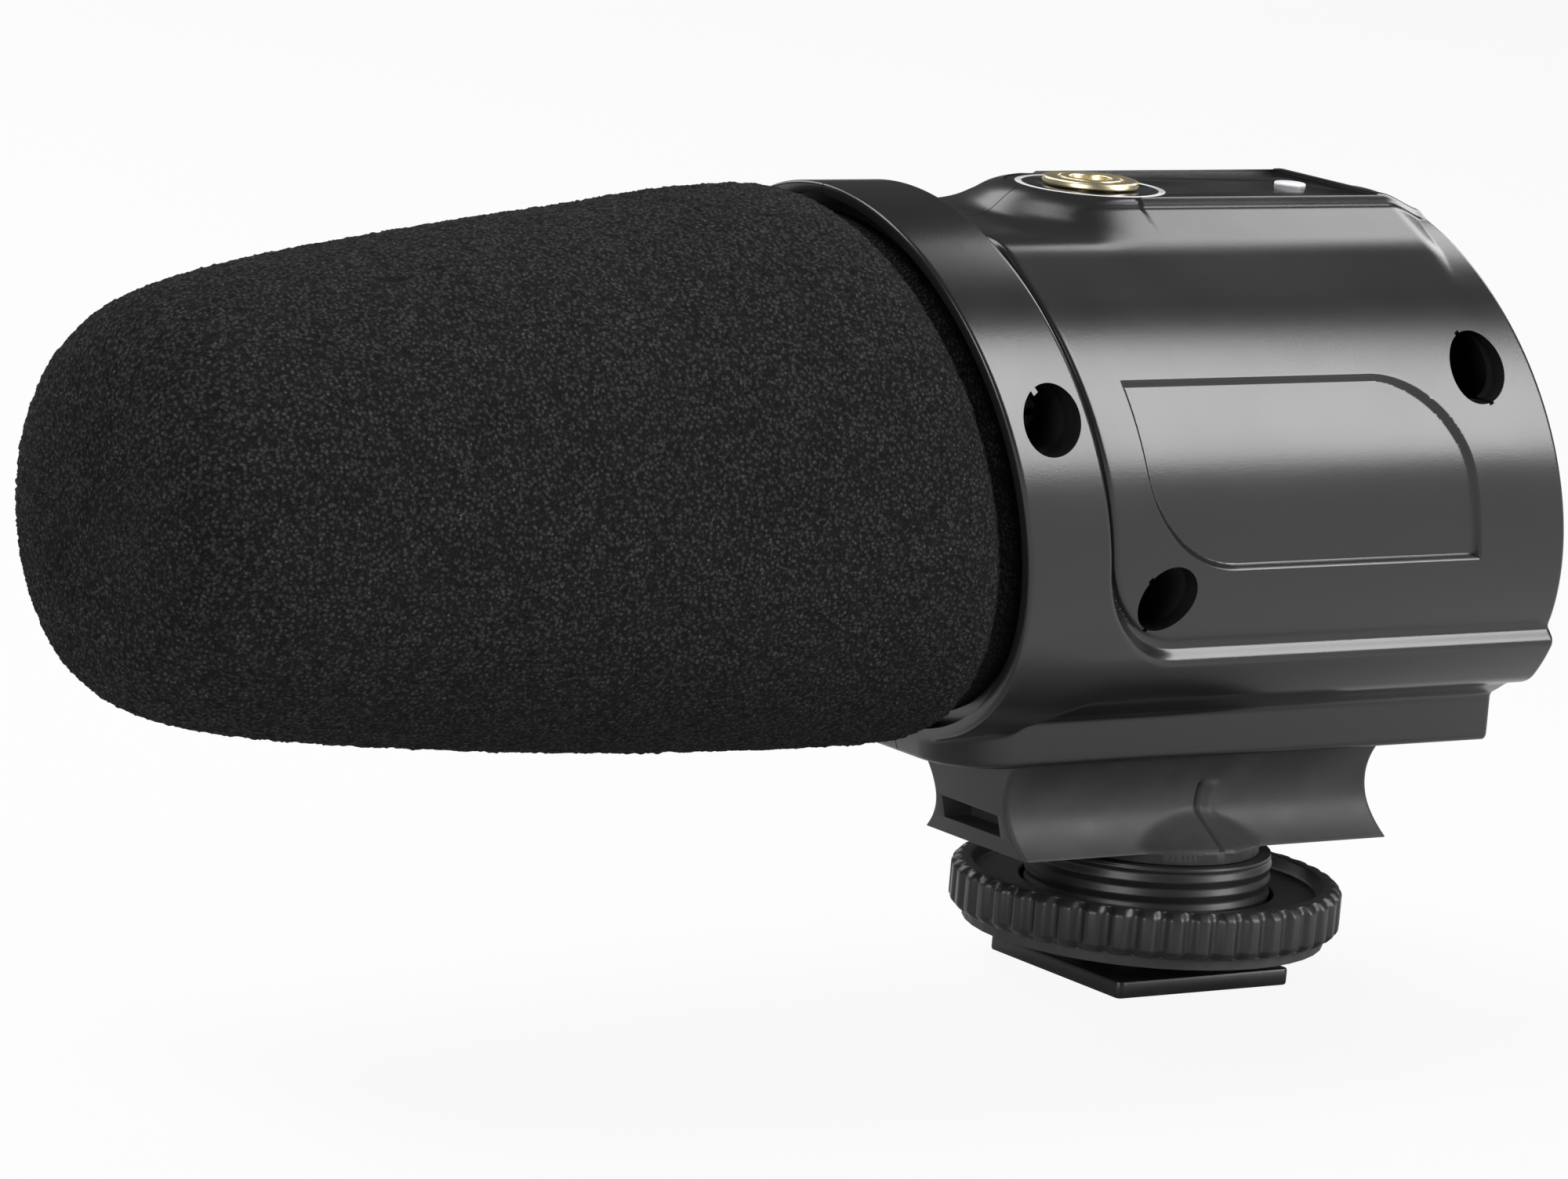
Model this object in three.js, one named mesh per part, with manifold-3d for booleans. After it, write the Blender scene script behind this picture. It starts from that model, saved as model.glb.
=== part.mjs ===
// An on camera microphone: a slotted tube under a foam windscreen, carried by a
// raked barrel housing that stands on a waisted rubber block and a shoe foot.
//
// Millimetres. +Z is up, the foam points to -Y, +X is the side with the screw wells,
// and the foot's underside lies at Z = 0 with its post on the Z axis.

import * as THREE from "three";
import { mergeVertices } from "three/addons/utils/BufferGeometryUtils.js";
import Module from "manifold-3d";

const wasm = await Module();
wasm.setup();

// Settings of the modelling itself

const QUARTER = Math.PI / 2;
const TURN = Math.PI * 2;
const LARGE_ROUND = 44; // sides of the barrel, the foam and the ring
const MEDIUM_ROUND = 24; // sides of the tube and the neck
const SMALL_ROUND = 12; // sides of screws, holes and sockets
const ARC_STEPS = 5; // straight steps in a rounded corner
const WELD = 0.0001; // points closer than this are one point
const OVERRUN = 2; // how far a cutting tool runs past what it cuts

// Clearances

const SEAT = 0.1; // between two pieces that rest on each other
const FIT = 0.2; // around a piece that is pushed into another
const RUN = 0.35; // around a piece that moves

// Radii, each counted from the capsule outward

const CAPSULE_RADIUS = 7;
const CAPSULE_GAP = 2.9; // filled by the soft holder
const TUBE_WALL = 1.1;
const TUBE_RADIUS = CAPSULE_RADIUS + CAPSULE_GAP + TUBE_WALL;
const SOCKET_WALL = 5.6;
const SOCKET_BORE_RADIUS = TUBE_RADIUS + SOCKET_WALL;
const COLLAR_WALL = 6.7;
const COLLAR_RADIUS = SOCKET_BORE_RADIUS + COLLAR_WALL;

// Heights, each counted from the piece below it

const FOOT_THICKNESS = 1.5;
const SHOE_GAP = 2.1; // room for the rails of a camera's shoe
const WASHER_UNDER_Z = FOOT_THICKNESS + SHOE_GAP;
const WASHER_THICKNESS = 0.9;
const RING_UNDER_Z = WASHER_UNDER_Z + WASHER_THICKNESS + SEAT;
const NECK_RISE = 1.8; // from the ring's underside to the neck's
const NECK_LENGTH = 4.7;
const NECK_UNDER_Z = RING_UNDER_Z + NECK_RISE;
const NECK_TOP_Z = NECK_UNDER_Z + NECK_LENGTH;
const BLOCK_BOSS_DROP = 0.8;
const BLOCK_UNDER_Z = NECK_TOP_Z + SEAT + BLOCK_BOSS_DROP;
const BLOCK_HEIGHT = 8.3;
const BLOCK_TOP_Z = BLOCK_UNDER_Z + BLOCK_HEIGHT;
const BASE_UNDER_Z = BLOCK_TOP_Z + SEAT;
const BASE_SIDE_HEIGHT = 5.6;
const BASE_CREASE_Z = BASE_UNDER_Z + BASE_SIDE_HEIGHT;
const COLLAR_SINK = 4.1; // the collar's underside lies this far below the crease
const AXIS_HEIGHT = BASE_CREASE_Z - COLLAR_SINK + COLLAR_RADIUS;
const ISLAND_SINK = 0.1; // the island's top lies this far below the collar's
const ISLAND_RISE = COLLAR_RADIUS - ISLAND_SINK;
const ISLAND_TOP_Z = AXIS_HEIGHT + ISLAND_RISE;

// The barrel, measured along its axis at the height of that axis

const RAKE_SHARE = 0.262; // how far the ends lean forward for each unit of height
const RIM_Y = -34.3;
const STEP_Y = -25.8;
const CAVITY_FRONT_Y = -16;
const CELL_FRONT_GAP = 2.65; // from the front of the hollow to the cell
const CELL_LENGTH = 29.1;
const CELL_MIDDLE_Y = CAVITY_FRONT_Y + CELL_FRONT_GAP + CELL_LENGTH / 2;
const CELL_REAR_GAP = 7.25; // from the cell to the housing's rear face
const REAR_Y = CELL_MIDDLE_Y + CELL_LENGTH / 2 + CELL_REAR_GAP;
const SIDE_STEP = 0.75; // the sides lie this much below the collar
const SIDE_RADIUS = COLLAR_RADIUS - SIDE_STEP;
const WALL = 2.1;
const CAVITY_RADIUS = SIDE_RADIUS - WALL;
const LEDGE_DROP = 12.6; // the recessed sides end on a ledge this far below the axis
const LEDGE_Z = AXIS_HEIGHT - LEDGE_DROP;
const LEDGE_CORNER = 8;
const EDGE_CHAMFER = 0.45;
const SPLIT_GAP = 0.1; // the parting line between the two halves

// The rim and the bore behind it

const LIP_WALL = 1.1;
const LIP_RADIUS = COLLAR_RADIUS - LIP_WALL;
const LIP_DEPTH = 1.6;

// The raised island on top that carries the controls

const ISLAND_HALF_WIDTH = 7.4;
const ISLAND_EDGE_WIDTH = 0.15; // the steep edge beside the flat
const ISLAND_EDGE_DROP = 0.7;
const FACET_HALF_WIDTH = 12.1; // where the slope beside the island ends
const FACET_DROP = 3.55;
const VALLEY_DEPTH = 2.7; // of the hollow between the collar and the island
const VALLEY_Z = ISLAND_TOP_Z - VALLEY_DEPTH;
const NOSE_SPREAD = 3.3; // how much wider the island's nose is at the valley
const ISLAND_BEVEL_LENGTH = 4.2; // the slope at the island's rear end
const ISLAND_BEVEL_DROP = 1.9;
const ROOF_WALL = 2.9;

// The control plate and what is set in it

const PLATE_HALF_WIDTH = 6.7;
const PLATE_REAR_Y = 12.2;
const PLATE_SINK = 0.3;
const PLATE_THICKNESS = 1.1;
const PLATE_TOP_Z = ISLAND_TOP_Z - PLATE_SINK;
const PLATE_UNDER_Z = PLATE_TOP_Z - PLATE_THICKNESS;
const ROOF_UNDER_Z = ISLAND_TOP_Z - ROOF_WALL;

const JACK_Y = -12.9;
const JACK_BORE_RADIUS = 1.8;
const JACK_BUSH_RADIUS = 2.6;
const JACK_BUSH_PROUD = 0.75;
const JACK_BODY_WIDTH = 7.4;
const JACK_BODY_LENGTH = 8.4;
const JACK_BODY_HEIGHT = 9.6;
const JACK_NUT_RADIUS = 3.4;
const JACK_NUT_HEIGHT = 0.6;

const LAMP_Y = 8.5;
const LAMP_RADIUS = 1.35;
const LAMP_PROUD = 0.15;
const LAMP_FLANGE_RADIUS = 2.1;
const LAMP_FLANGE_HEIGHT = 1.2;

// The label recess on the side, and the battery cover on the other side

const RECESS_FRONT_Y = -20.9;
const RECESS_REAR_Y = 13.7;
const RECESS_DROP = 5.7; // below the barrel's axis
const RECESS_RISE = 10.2; // above it
const RECESS_LOW_Z = AXIS_HEIGHT - RECESS_DROP;
const RECESS_HIGH_Z = AXIS_HEIGHT + RECESS_RISE;
const RECESS_CORNER = 8.6;
const RECESS_DEPTH = 0.4;

const DOOR_FRONT_Y = -19.8;
const DOOR_REAR_Y = 18.6;
const DOOR_DROP = 8.2;
const DOOR_RISE = 7.4;
const DOOR_LOW_Z = AXIS_HEIGHT - DOOR_DROP;
const DOOR_HIGH_Z = AXIS_HEIGHT + DOOR_RISE;
const DOOR_CORNER = 2.4;
const DOOR_THICKNESS = 1.1;
const DOOR_LEDGE = 0.9; // the window behind the cover is smaller by this all round
const DOOR_GRIP_LENGTH = 7;
const DOOR_GRIP_HEIGHT = 0.9;
const DOOR_GRIP_DEPTH = 0.5;
const DOOR_GRIP_PITCH = 2;
const DOOR_GRIP_COUNT = 3;

// The screws that hold the two halves together, in wells on the +X side

const WELL_RADIUS = 3.05;
const BOSS_RADIUS = 4.1;
const SCREW_HEAD_RADIUS = 2.6;
const SCREW_HEAD_HEIGHT = 1.7;
const SCREW_SHANK_RADIUS = 1.3;
const SCREW_DRIVE_RADIUS = 1.2;
const SCREW_DRIVE_DEPTH = 0.9;
const RIGHT_BOSS_LENGTH = 4.5;
const BOSS_RIB = 1.6;
const COLLAR_WELL_Y = -31.6;
const COLLAR_WELL_RISE = 7.4; // above the barrel's axis
const COLLAR_WELL_Z = AXIS_HEIGHT + COLLAR_WELL_RISE;
const COLLAR_WELL_DEPTH = 7.1;
const COLLAR_WELL_FLOOR_X = COLLAR_RADIUS - COLLAR_WELL_DEPTH;
const COLLAR_SCREW_LENGTH = 7;
const UPPER_WELL_Y = 14.2;
const UPPER_WELL_RISE = 10.4;
const UPPER_WELL_Z = AXIS_HEIGHT + UPPER_WELL_RISE;
const LOWER_WELL_Y = -17.3;
const LOWER_WELL_DROP = 8;
const LOWER_WELL_Z = AXIS_HEIGHT - LOWER_WELL_DROP;
const SIDE_WELL_FLOOR_X = 9;
const SIDE_SCREW_LENGTH = 12.4;

// The base under the barrel

const BASE_TOP_HALF_WIDTH = 10.2;
const BASE_UNDER_HALF_WIDTH = 8.5;
const BASE_CORNER = 6;

// The rubber block between the base and the shoe mount

const BLOCK_FRONT_Y = -27.5;
const BLOCK_REAR_Y = 11.6;
const BLOCK_UNDER_HALF_WIDTH = 7.3;
const BLOCK_WAIST_HALF_WIDTH = 5.2;
const BLOCK_TOP_HALF_WIDTH = 7.6;
const WAIST_SHARE = 0.43; // the waist's height as a share of the block's
const BLOCK_SLOT_WIDTH = 8.2;
const BLOCK_SLOT_HEIGHT = 1.9;
const BLOCK_SLOT_DEPTH = 3;
const BLOCK_SLOT_RISE = 2.3;
const BLOCK_SLOT_Z = BLOCK_UNDER_Z + BLOCK_SLOT_RISE;
const BLOCK_BOSS_RADIUS = 9.4;
const BLOCK_BOSS_MIDDLE_RADIUS = 7.1;
const BLOCK_BOSS_TOP_RADIUS = 5;
const BLOCK_BOSS_STRAIGHT = 0.5;
const BLOCK_BOSS_MIDDLE_RISE = 1.9;
const SEAM_Y = 0.5;
const SEAM_WIDTH = 0.35;
const SEAM_DEPTH = 0.35;
const NUT_WELL_RADIUS = 5.05;

const BLOCK_SCREW_X = 1.5;
const BLOCK_SCREW_REACH_Y = 13;
const BLOCK_SCREW_HEAD_RISE = 2.6;
const BLOCK_SCREW_HEAD_Z = BLOCK_UNDER_Z + BLOCK_SCREW_HEAD_RISE;
const BLOCK_SCREW_LENGTH = 8.6;
const BLOCK_SCREWS = [
  { x: BLOCK_SCREW_X, y: -BLOCK_SCREW_REACH_Y },
  { x: -BLOCK_SCREW_X, y: BLOCK_SCREW_REACH_Y },
];

// The shoe mount: neck, lock ring, washer and foot

const FOOT_SIDE = 18.5;
const FOOT_CORNER = 0.6;
const FOOT_CHAMFER = 0.25;
const POST_RADIUS = 5.5;
const POST_FLAT = 4.9; // distance from the axis to the post's two flats
const STEM_RADIUS = 2.8;

const RING_RADIUS = 16.85;
const RING_WIDTH = 6.25;
const NECK_RADIUS = RING_RADIUS - RING_WIDTH;
const NECK_CHAMFER = 0.4;
const POST_TOP_Z = NECK_UNDER_Z - SEAT;

const NUT_ACROSS_FLATS = 8.4;
const NUT_HEIGHT = 3;
const NUT_UNDER_Z = BLOCK_UNDER_Z + SEAT;
const STEM_PROUD = 0.8;

const RING_HEIGHT = 4.05;
const RING_RIM = 0.9; // flat top of the rim
const RING_BEVEL = 1.5; // slope from the rim down into the dish
const RING_DISH_DEPTH = 1.1;
const RING_CHAMFER = 0.4;
const RIDGE_COUNT = 44;
const RIDGE_DEPTH = 0.5;

const WASHER_INSET = 1.25; // from the ring's edge to the washer's
const WASHER_RADIUS = RING_RADIUS - WASHER_INSET;

// The tube, the capsule and the foam

const TUBE_FRONT_Y = -96;
const TUBE_REAR_Y = -23.4;
const SOCKET_LENGTH = 8.4;
const SLOT_WIDTH = 1.7;
const SLOT_LENGTH = 5.6;
const SLOT_PITCH = 8.2;
const SLOT_ROWS = 4;
const SLOTS_PER_ROW = 6;
const FIRST_SLOT_Y = -89;

const GRILLE_THICKNESS = 1.2;
const GRILLE_INSET = 0.6;
const GRILLE_HOLE_RADIUS = 0.85;
const GRILLE_HOLE_PITCH = 3;
const GRILLE_RINGS = 2;
const HOLES_PER_RING = 6;

const CAPSULE_LENGTH = 11;
const CAPSULE_FRONT_Y = -44;
const CAPSULE_FACE_RADIUS = 5.6;
const CAPSULE_FACE_DEPTH = 0.7;
const HOLDER_LENGTH = 4;
const HOLDER_GROOVE = 0.9;

const FOAM_FRONT_Y = -107.4;
const FOAM_CONE_FRONT_Y = -87;
const FOAM_INSET = 0.15; // the foam's shoulder stays just inside the collar's outline
const FOAM_REAR_RADIUS = COLLAR_RADIUS - FOAM_INSET;
const FOAM_BEND_DROP = 0.25;
const FOAM_BEND_RADIUS = FOAM_REAR_RADIUS - FOAM_BEND_DROP;
const FOAM_BEND_Y = -50;
const FOAM_MIDDLE_RADIUS = 21.7;
const FOAM_FRONT_RADIUS = 19.4;
const FOAM_REAR_GAP = 1.5; // from the foam's shoulder to the rim
const FOAM_SHOULDER_LENGTH = 3.4;
const FOAM_SHOULDER_DROP = 1.9;
const FOAM_NECK_GAP = 1.2; // from the foam's neck to the inside of the lip
const FOAM_NOSE_POWER = 2.8; // 2 is a half ellipse, more is blunter
const FOAM_STRAIGHT_Y = -66; // in front of this the foam is round and square to its axis
const FOAM_END_SLACK = 0.6;
const FOAM_SAG_Y = -39; // in front of this the foam's outside sags
const FOAM_SAG_SLOPE = 0.0245;
const NOSE_STEPS = 9;

// The inner pieces

const BOARD_THICKNESS = 1.6;
const BOARD_REAR_Y = 7.6;
const BOARD_LEFT_GAP = 1.55; // from the board's edges to the wall of the hollow
const BOARD_RIGHT_GAP = 5.55;
const BOARD_TOP_Z = ROOF_UNDER_Z - JACK_BODY_HEIGHT - SEAT - SEAT;
const BOARD_UNDER_Z = BOARD_TOP_Z - BOARD_THICKNESS;
const BOARD_REACH = Math.sqrt(CAVITY_RADIUS ** 2 - (BOARD_TOP_Z - AXIS_HEIGHT) ** 2);
const BOARD_LEFT_X = BOARD_REACH - BOARD_LEFT_GAP;
const BOARD_RIGHT_X = BOARD_RIGHT_GAP - BOARD_REACH;
const BOARD_FRONT_Y = CAVITY_FRONT_Y - RAKE_SHARE * (BOARD_UNDER_Z - AXIS_HEIGHT) + FIT;
const CHIP_WIDTH = 5;
const CHIP_LENGTH = 6.4;
const CHIP_HEIGHT = 1.5;
const CAN_RADIUS = 2.6;
const CAN_HEIGHT = 5.4;
const SHELF_WIDTH = 4;
const SHELF_LENGTH = 12;
const SHELF_THICKNESS = 1.6;

const CELL_RADIUS = 6;
const CELL_NUB_RADIUS = 2.1;
const CELL_NUB_HEIGHT = 1.1;
const CELL_COVER_GAP = 3.85; // from the side of the housing to the cell
const CELL_X = CELL_COVER_GAP + CELL_RADIUS - SIDE_RADIUS;
const CELL_DROP = 0.4; // below the barrel's axis
const CELL_Z = AXIS_HEIGHT - CELL_DROP;
const CELL_CHAMFER = 0.4;
const CONTACT_THICKNESS = 0.5;
const CONTACT_WIDTH = 6;
const CONTACT_HEIGHT = 9;
const CONTACT_DIMPLE = 0.8;
const CONTACT_DIMPLE_RADIUS = 2;
const TRAY_WALL = 1.2;
const TRAY_HALF_HEIGHT = 6.6;
const TRAY_REACH = 8.4;

// The slide switches on the raked rear face, in that face's own directions

const SWITCH_UPPER_RISE = 1.5;
const SWITCH_LOWER_RISE = -8.5;
const SWITCH_TRAVEL = 2; // to each side of the middle
const SWITCH_POCKET_WIDTH = 11;
const SWITCH_POCKET_HEIGHT = 4.6;
const SWITCH_POCKET_DEPTH = 0.8;
const SWITCH_STEM_WIDTH = 2;
const SWITCH_STEM_HEIGHT = 1.4;
const SWITCH_STEM_INSERT = 1.2;
const SWITCH_BODY_WIDTH = 9.4;
const SWITCH_BODY_HEIGHT = 4.4;
const SWITCH_BODY_DEPTH = 3.6;
const KNOB_WIDTH = 3.6;
const KNOB_HEIGHT = 2.6;
const KNOB_PROUD = 1;
const KNOB_RIB_COUNT = 3;
const KNOB_RIB_WIDTH = 0.5;
const KNOB_RIB_HEIGHT = 0.35;

// Finishes: colour, roughness, metalness

const FINISH = {
  foam: [0x26272a, 1, 0],
  housing: [0x3f4145, 0.45, 0],
  plate: [0x151619, 0.2, 0],
  rubber: [0x2a2b2e, 0.8, 0],
  ring: [0x1d1e20, 0.4, 0],
  foot: [0x1a1b1d, 0.35, 0.2],
  steel: [0x9a9ca0, 0.35, 1],
  darkSteel: [0x3a3b3e, 0.4, 1],
  gold: [0xd9c68a, 0.3, 1],
  lamp: [0xf2f2ee, 0.25, 0],
  board: [0x1f5a3a, 0.6, 0],
  tube: [0x1b1c1e, 0.45, 0.6],
  brassFoil: [0xb9a15a, 0.4, 1],
  cell: [0x6f767d, 0.4, 0.6],
  tray: [0x232427, 0.6, 0],
};

// Solids: from three.js geometry and back

function toSolid(geometry) {
  const bare = new THREE.BufferGeometry();
  bare.setAttribute("position", geometry.getAttribute("position"));
  bare.setIndex(geometry.getIndex());
  const welded = mergeVertices(bare, WELD);
  return new wasm.Manifold(
    new wasm.Mesh({
      numProp: 3,
      vertProperties: new Float32Array(welded.getAttribute("position").array),
      triVerts: new Uint32Array(welded.getIndex().array),
    }),
  );
}

function toGeometry(solid) {
  const mesh = solid.getMesh();
  const geometry = new THREE.BufferGeometry();
  geometry.setAttribute("position", new THREE.BufferAttribute(mesh.vertProperties, 3));
  geometry.setIndex(new THREE.BufferAttribute(mesh.triVerts, 1));
  return geometry;
}

function cut(body, ...tools) {
  const rest = tools.reduce((solid, tool) => solid.subtract(toSolid(tool)), toSolid(body));
  return toGeometry(rest);
}

function join(...bodies) {
  return toGeometry(bodies.map(toSolid).reduce((all, solid) => all.add(solid)));
}

function overlap(first, second) {
  return toGeometry(toSolid(first).intersect(toSolid(second)));
}

// Forms: each returns a geometry in the part's own frame

// A box between two corners.
function block(low, high) {
  const size = high.map((value, axis) => value - low[axis]);
  const middle = high.map((value, axis) => (value + low[axis]) / 2);
  return new THREE.BoxGeometry(...size).translate(...middle);
}

// An outline in X and Z, drawn out along Y.
function alongY(shape, front, rear, arcSteps = ARC_STEPS) {
  const options = { depth: rear - front, bevelEnabled: false, curveSegments: arcSteps };
  return new THREE.ExtrudeGeometry(shape, options).rotateX(QUARTER).translate(0, rear, 0);
}

// An outline in Y and Z, drawn out along X.
function alongX(shape, low, high, arcSteps = ARC_STEPS) {
  const options = { depth: high - low, bevelEnabled: false, curveSegments: arcSteps };
  const turn = new THREE.Matrix4().makeBasis(
    new THREE.Vector3(0, 1, 0),
    new THREE.Vector3(0, 0, 1),
    new THREE.Vector3(1, 0, 0),
  );
  return new THREE.ExtrudeGeometry(shape, options).applyMatrix4(turn).translate(low, 0, 0);
}

// An outline in X and Y, drawn out along Z.
function alongZ(shape, low, high, arcSteps = ARC_STEPS) {
  const options = { depth: high - low, bevelEnabled: false, curveSegments: arcSteps };
  return new THREE.ExtrudeGeometry(shape, options).translate(0, 0, low);
}

// A turned form about the Z axis, from points of radius and height.
function turned(points, sides) {
  const profile = points.map(([radius, height]) => new THREE.Vector2(radius, height));
  return new THREE.LatheGeometry(profile, sides).rotateX(QUARTER);
}

// The same about the barrel's axis, from points of radius and Y.
function turnedAboutBarrel(points, sides) {
  return turned(points, sides).rotateX(-QUARTER).translate(0, 0, AXIS_HEIGHT);
}

// A closed ring profile goes once around and ends where it began.
function ringProfile(inner, outer, low, high) {
  return [[inner, low], [outer, low], [outer, high], [inner, high], [inner, low]];
}

function rod(radius, low, high) {
  return [[0, low], [radius, low], [radius, high], [0, high]];
}

function uprightRod(radius, low, high, x, y, sides = SMALL_ROUND) {
  return turned(rod(radius, low, high), sides).translate(x, y, 0);
}

function sidewaysRod(radius, low, high, y, z, sides = SMALL_ROUND) {
  return turned(rod(radius, low, high), sides).rotateY(QUARTER).translate(0, y, z);
}

// A rectangle whose corners may each have their own radius, from the low-low corner on.
function roundedRectangle(left, right, low, high, corners) {
  const [lowLeft, lowRight, highRight, highLeft] = corners;
  const shape = new THREE.Shape();
  shape.moveTo(left + lowLeft, low);
  shape.lineTo(right - lowRight, low);
  if (lowRight > 0) shape.absarc(right - lowRight, low + lowRight, lowRight, -QUARTER, 0, false);
  shape.lineTo(right, high - highRight);
  if (highRight > 0) shape.absarc(right - highRight, high - highRight, highRight, 0, QUARTER, false);
  shape.lineTo(left + highLeft, high);
  if (highLeft > 0) shape.absarc(left + highLeft, high - highLeft, highLeft, QUARTER, Math.PI, false);
  shape.lineTo(left, low + lowLeft);
  if (lowLeft > 0) shape.absarc(left + lowLeft, low + lowLeft, lowLeft, Math.PI, -QUARTER, false);
  return shape;
}

function polygon(points) {
  return new THREE.Shape(points.map(([u, v]) => new THREE.Vector2(u, v)));
}

// Leans a form forward with height, as the barrel's ends, step and recess lean.
function rake(geometry) {
  const lean = new THREE.Matrix4().makeShear(0, 0, 0, 0, 0, -RAKE_SHARE);
  return geometry.translate(0, 0, -AXIS_HEIGHT).applyMatrix4(lean).translate(0, 0, AXIS_HEIGHT);
}

// Where a raked plane that crosses the barrel's axis at y stands at height z.
function rakedY(y, z) {
  return y - RAKE_SHARE * (z - AXIS_HEIGHT);
}

// The rear face's own frame: X across, Y straight out of the face, Z up along it.
const REAR_FACE_TILT = Math.atan(RAKE_SHARE);

function onRearFace(geometry) {
  return geometry.rotateX(REAR_FACE_TILT).translate(0, REAR_Y, AXIS_HEIGHT);
}

function piece(name, geometry, finish) {
  const [color, roughness, metalness] = FINISH[finish];
  const mesh = new THREE.Mesh(
    geometry,
    new THREE.MeshStandardMaterial({ color, roughness, metalness }),
  );
  mesh.name = name;
  return mesh;
}

// The barrel housing

// A circle whose top is drawn out to a flat. The corners run outward from the edge of
// the flat, and from the last one a straight flank touches the circle.
function barrelOutline(radius, corners) {
  const [flankX, flankRise] = corners[corners.length - 1];
  const reach = Math.max(radius, Math.hypot(flankX, flankRise));
  const touch = Math.atan2(flankRise, flankX) - Math.acos(radius / reach);
  const shape = new THREE.Shape();
  shape.moveTo(...corners[0]);
  for (const [x, rise] of corners.slice(1)) shape.lineTo(x, rise);
  shape.lineTo(radius * Math.cos(touch), radius * Math.sin(touch));
  shape.absarc(0, 0, radius, touch, Math.PI - touch, true);
  for (const [x, rise] of [...corners].reverse()) shape.lineTo(-x, rise);
  return shape;
}

const ISLAND_CORNERS = [
  [ISLAND_HALF_WIDTH, ISLAND_RISE],
  [ISLAND_HALF_WIDTH + ISLAND_EDGE_WIDTH, ISLAND_RISE - ISLAND_EDGE_DROP],
  [FACET_HALF_WIDTH, ISLAND_RISE - FACET_DROP],
];

// What lies behind the step and above the ledge, seen from the side.
function sidePanelOutline(top) {
  const behind = REAR_Y + OVERRUN;
  return roundedRectangle(STEP_Y, behind, LEDGE_Z, top, [LEDGE_CORNER, 0, 0, 0]);
}

function barrelSolid() {
  const proud = turnedAboutBarrel(
    [
      [0, RIM_Y],
      [COLLAR_RADIUS - EDGE_CHAMFER, RIM_Y],
      [COLLAR_RADIUS, RIM_Y + EDGE_CHAMFER],
      [COLLAR_RADIUS, REAR_Y - EDGE_CHAMFER],
      [COLLAR_RADIUS - EDGE_CHAMFER, REAR_Y],
      [0, REAR_Y],
    ],
    LARGE_ROUND,
  );
  const behindStep = alongY(
    barrelOutline(SIDE_RADIUS, ISLAND_CORNERS),
    STEP_Y,
    REAR_Y,
    LARGE_ROUND,
  ).translate(0, 0, AXIS_HEIGHT);
  const coreRadius = SIDE_RADIUS - WALL / 2;
  const core = turnedAboutBarrel(rod(coreRadius, STEP_Y - OVERRUN, STEP_Y + OVERRUN), LARGE_ROUND);
  const halfWidth = COLLAR_RADIUS + OVERRUN;
  const region = alongX(sidePanelOutline(ISLAND_TOP_Z + OVERRUN), -halfWidth, halfWidth);
  return join(cut(proud, region), core, behindStep);
}

function baseSolid() {
  const inside = AXIS_HEIGHT - SIDE_RADIUS / 2;
  const section = polygon([
    [-BASE_UNDER_HALF_WIDTH, BASE_UNDER_Z],
    [BASE_UNDER_HALF_WIDTH, BASE_UNDER_Z],
    [BASE_TOP_HALF_WIDTH, BASE_CREASE_Z],
    [BASE_TOP_HALF_WIDTH, inside],
    [-BASE_TOP_HALF_WIDTH, inside],
    [-BASE_TOP_HALF_WIDTH, BASE_CREASE_Z],
  ]);
  const plan = roundedRectangle(
    -BASE_TOP_HALF_WIDTH,
    BASE_TOP_HALF_WIDTH,
    RIM_Y + EDGE_CHAMFER,
    REAR_Y - EDGE_CHAMFER,
    [BASE_CORNER, BASE_CORNER, EDGE_CHAMFER, EDGE_CHAMFER],
  );
  return overlap(
    alongY(section, RIM_Y, REAR_Y),
    alongZ(plan, BASE_UNDER_Z - OVERRUN, inside + OVERRUN),
  );
}

// The hollow: a wide cavity at the rear, a bore for the tube's socket, and the open lip.
function hollowSolid() {
  const roofRise = ROOF_UNDER_Z - AXIS_HEIGHT;
  const cavity = alongY(
    barrelOutline(CAVITY_RADIUS, [[ISLAND_HALF_WIDTH - WALL, roofRise]]),
    CAVITY_FRONT_Y,
    REAR_Y - WALL,
    LARGE_ROUND,
  ).translate(0, 0, AXIS_HEIGHT);
  const floorY = RIM_Y + LIP_DEPTH;
  const bore = turnedAboutBarrel(
    [
      [0, RIM_Y - OVERRUN],
      [LIP_RADIUS, RIM_Y - OVERRUN],
      [LIP_RADIUS, floorY],
      [SOCKET_BORE_RADIUS, floorY],
      [SOCKET_BORE_RADIUS, CAVITY_FRONT_Y + OVERRUN],
      [0, CAVITY_FRONT_Y + OVERRUN],
    ],
    LARGE_ROUND,
  );
  return join(cavity, bore);
}

// The valley in front of the island leaves a round nose about the jack.
function valleyTool() {
  const behind = JACK_Y;
  const halfWidth = COLLAR_RADIUS;
  const top = ISLAND_TOP_Z + OVERRUN;
  const front = rakedY(STEP_Y, VALLEY_Z);
  const space = alongX(
    polygon([
      [front, VALLEY_Z],
      [behind, VALLEY_Z],
      [behind, top],
      [rakedY(STEP_Y, top), top],
    ]),
    -halfWidth,
    halfWidth,
  );
  const drop = ISLAND_TOP_Z - VALLEY_Z;
  const slope = NOSE_SPREAD / drop;
  const nose = turned(
    [
      [0, VALLEY_Z - OVERRUN],
      [ISLAND_HALF_WIDTH + NOSE_SPREAD + slope * OVERRUN, VALLEY_Z - OVERRUN],
      [ISLAND_HALF_WIDTH - slope * OVERRUN, ISLAND_TOP_Z + OVERRUN],
      [0, ISLAND_TOP_Z + OVERRUN],
    ],
    LARGE_ROUND,
  ).translate(0, JACK_Y, 0);
  return cut(space, nose);
}

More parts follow.
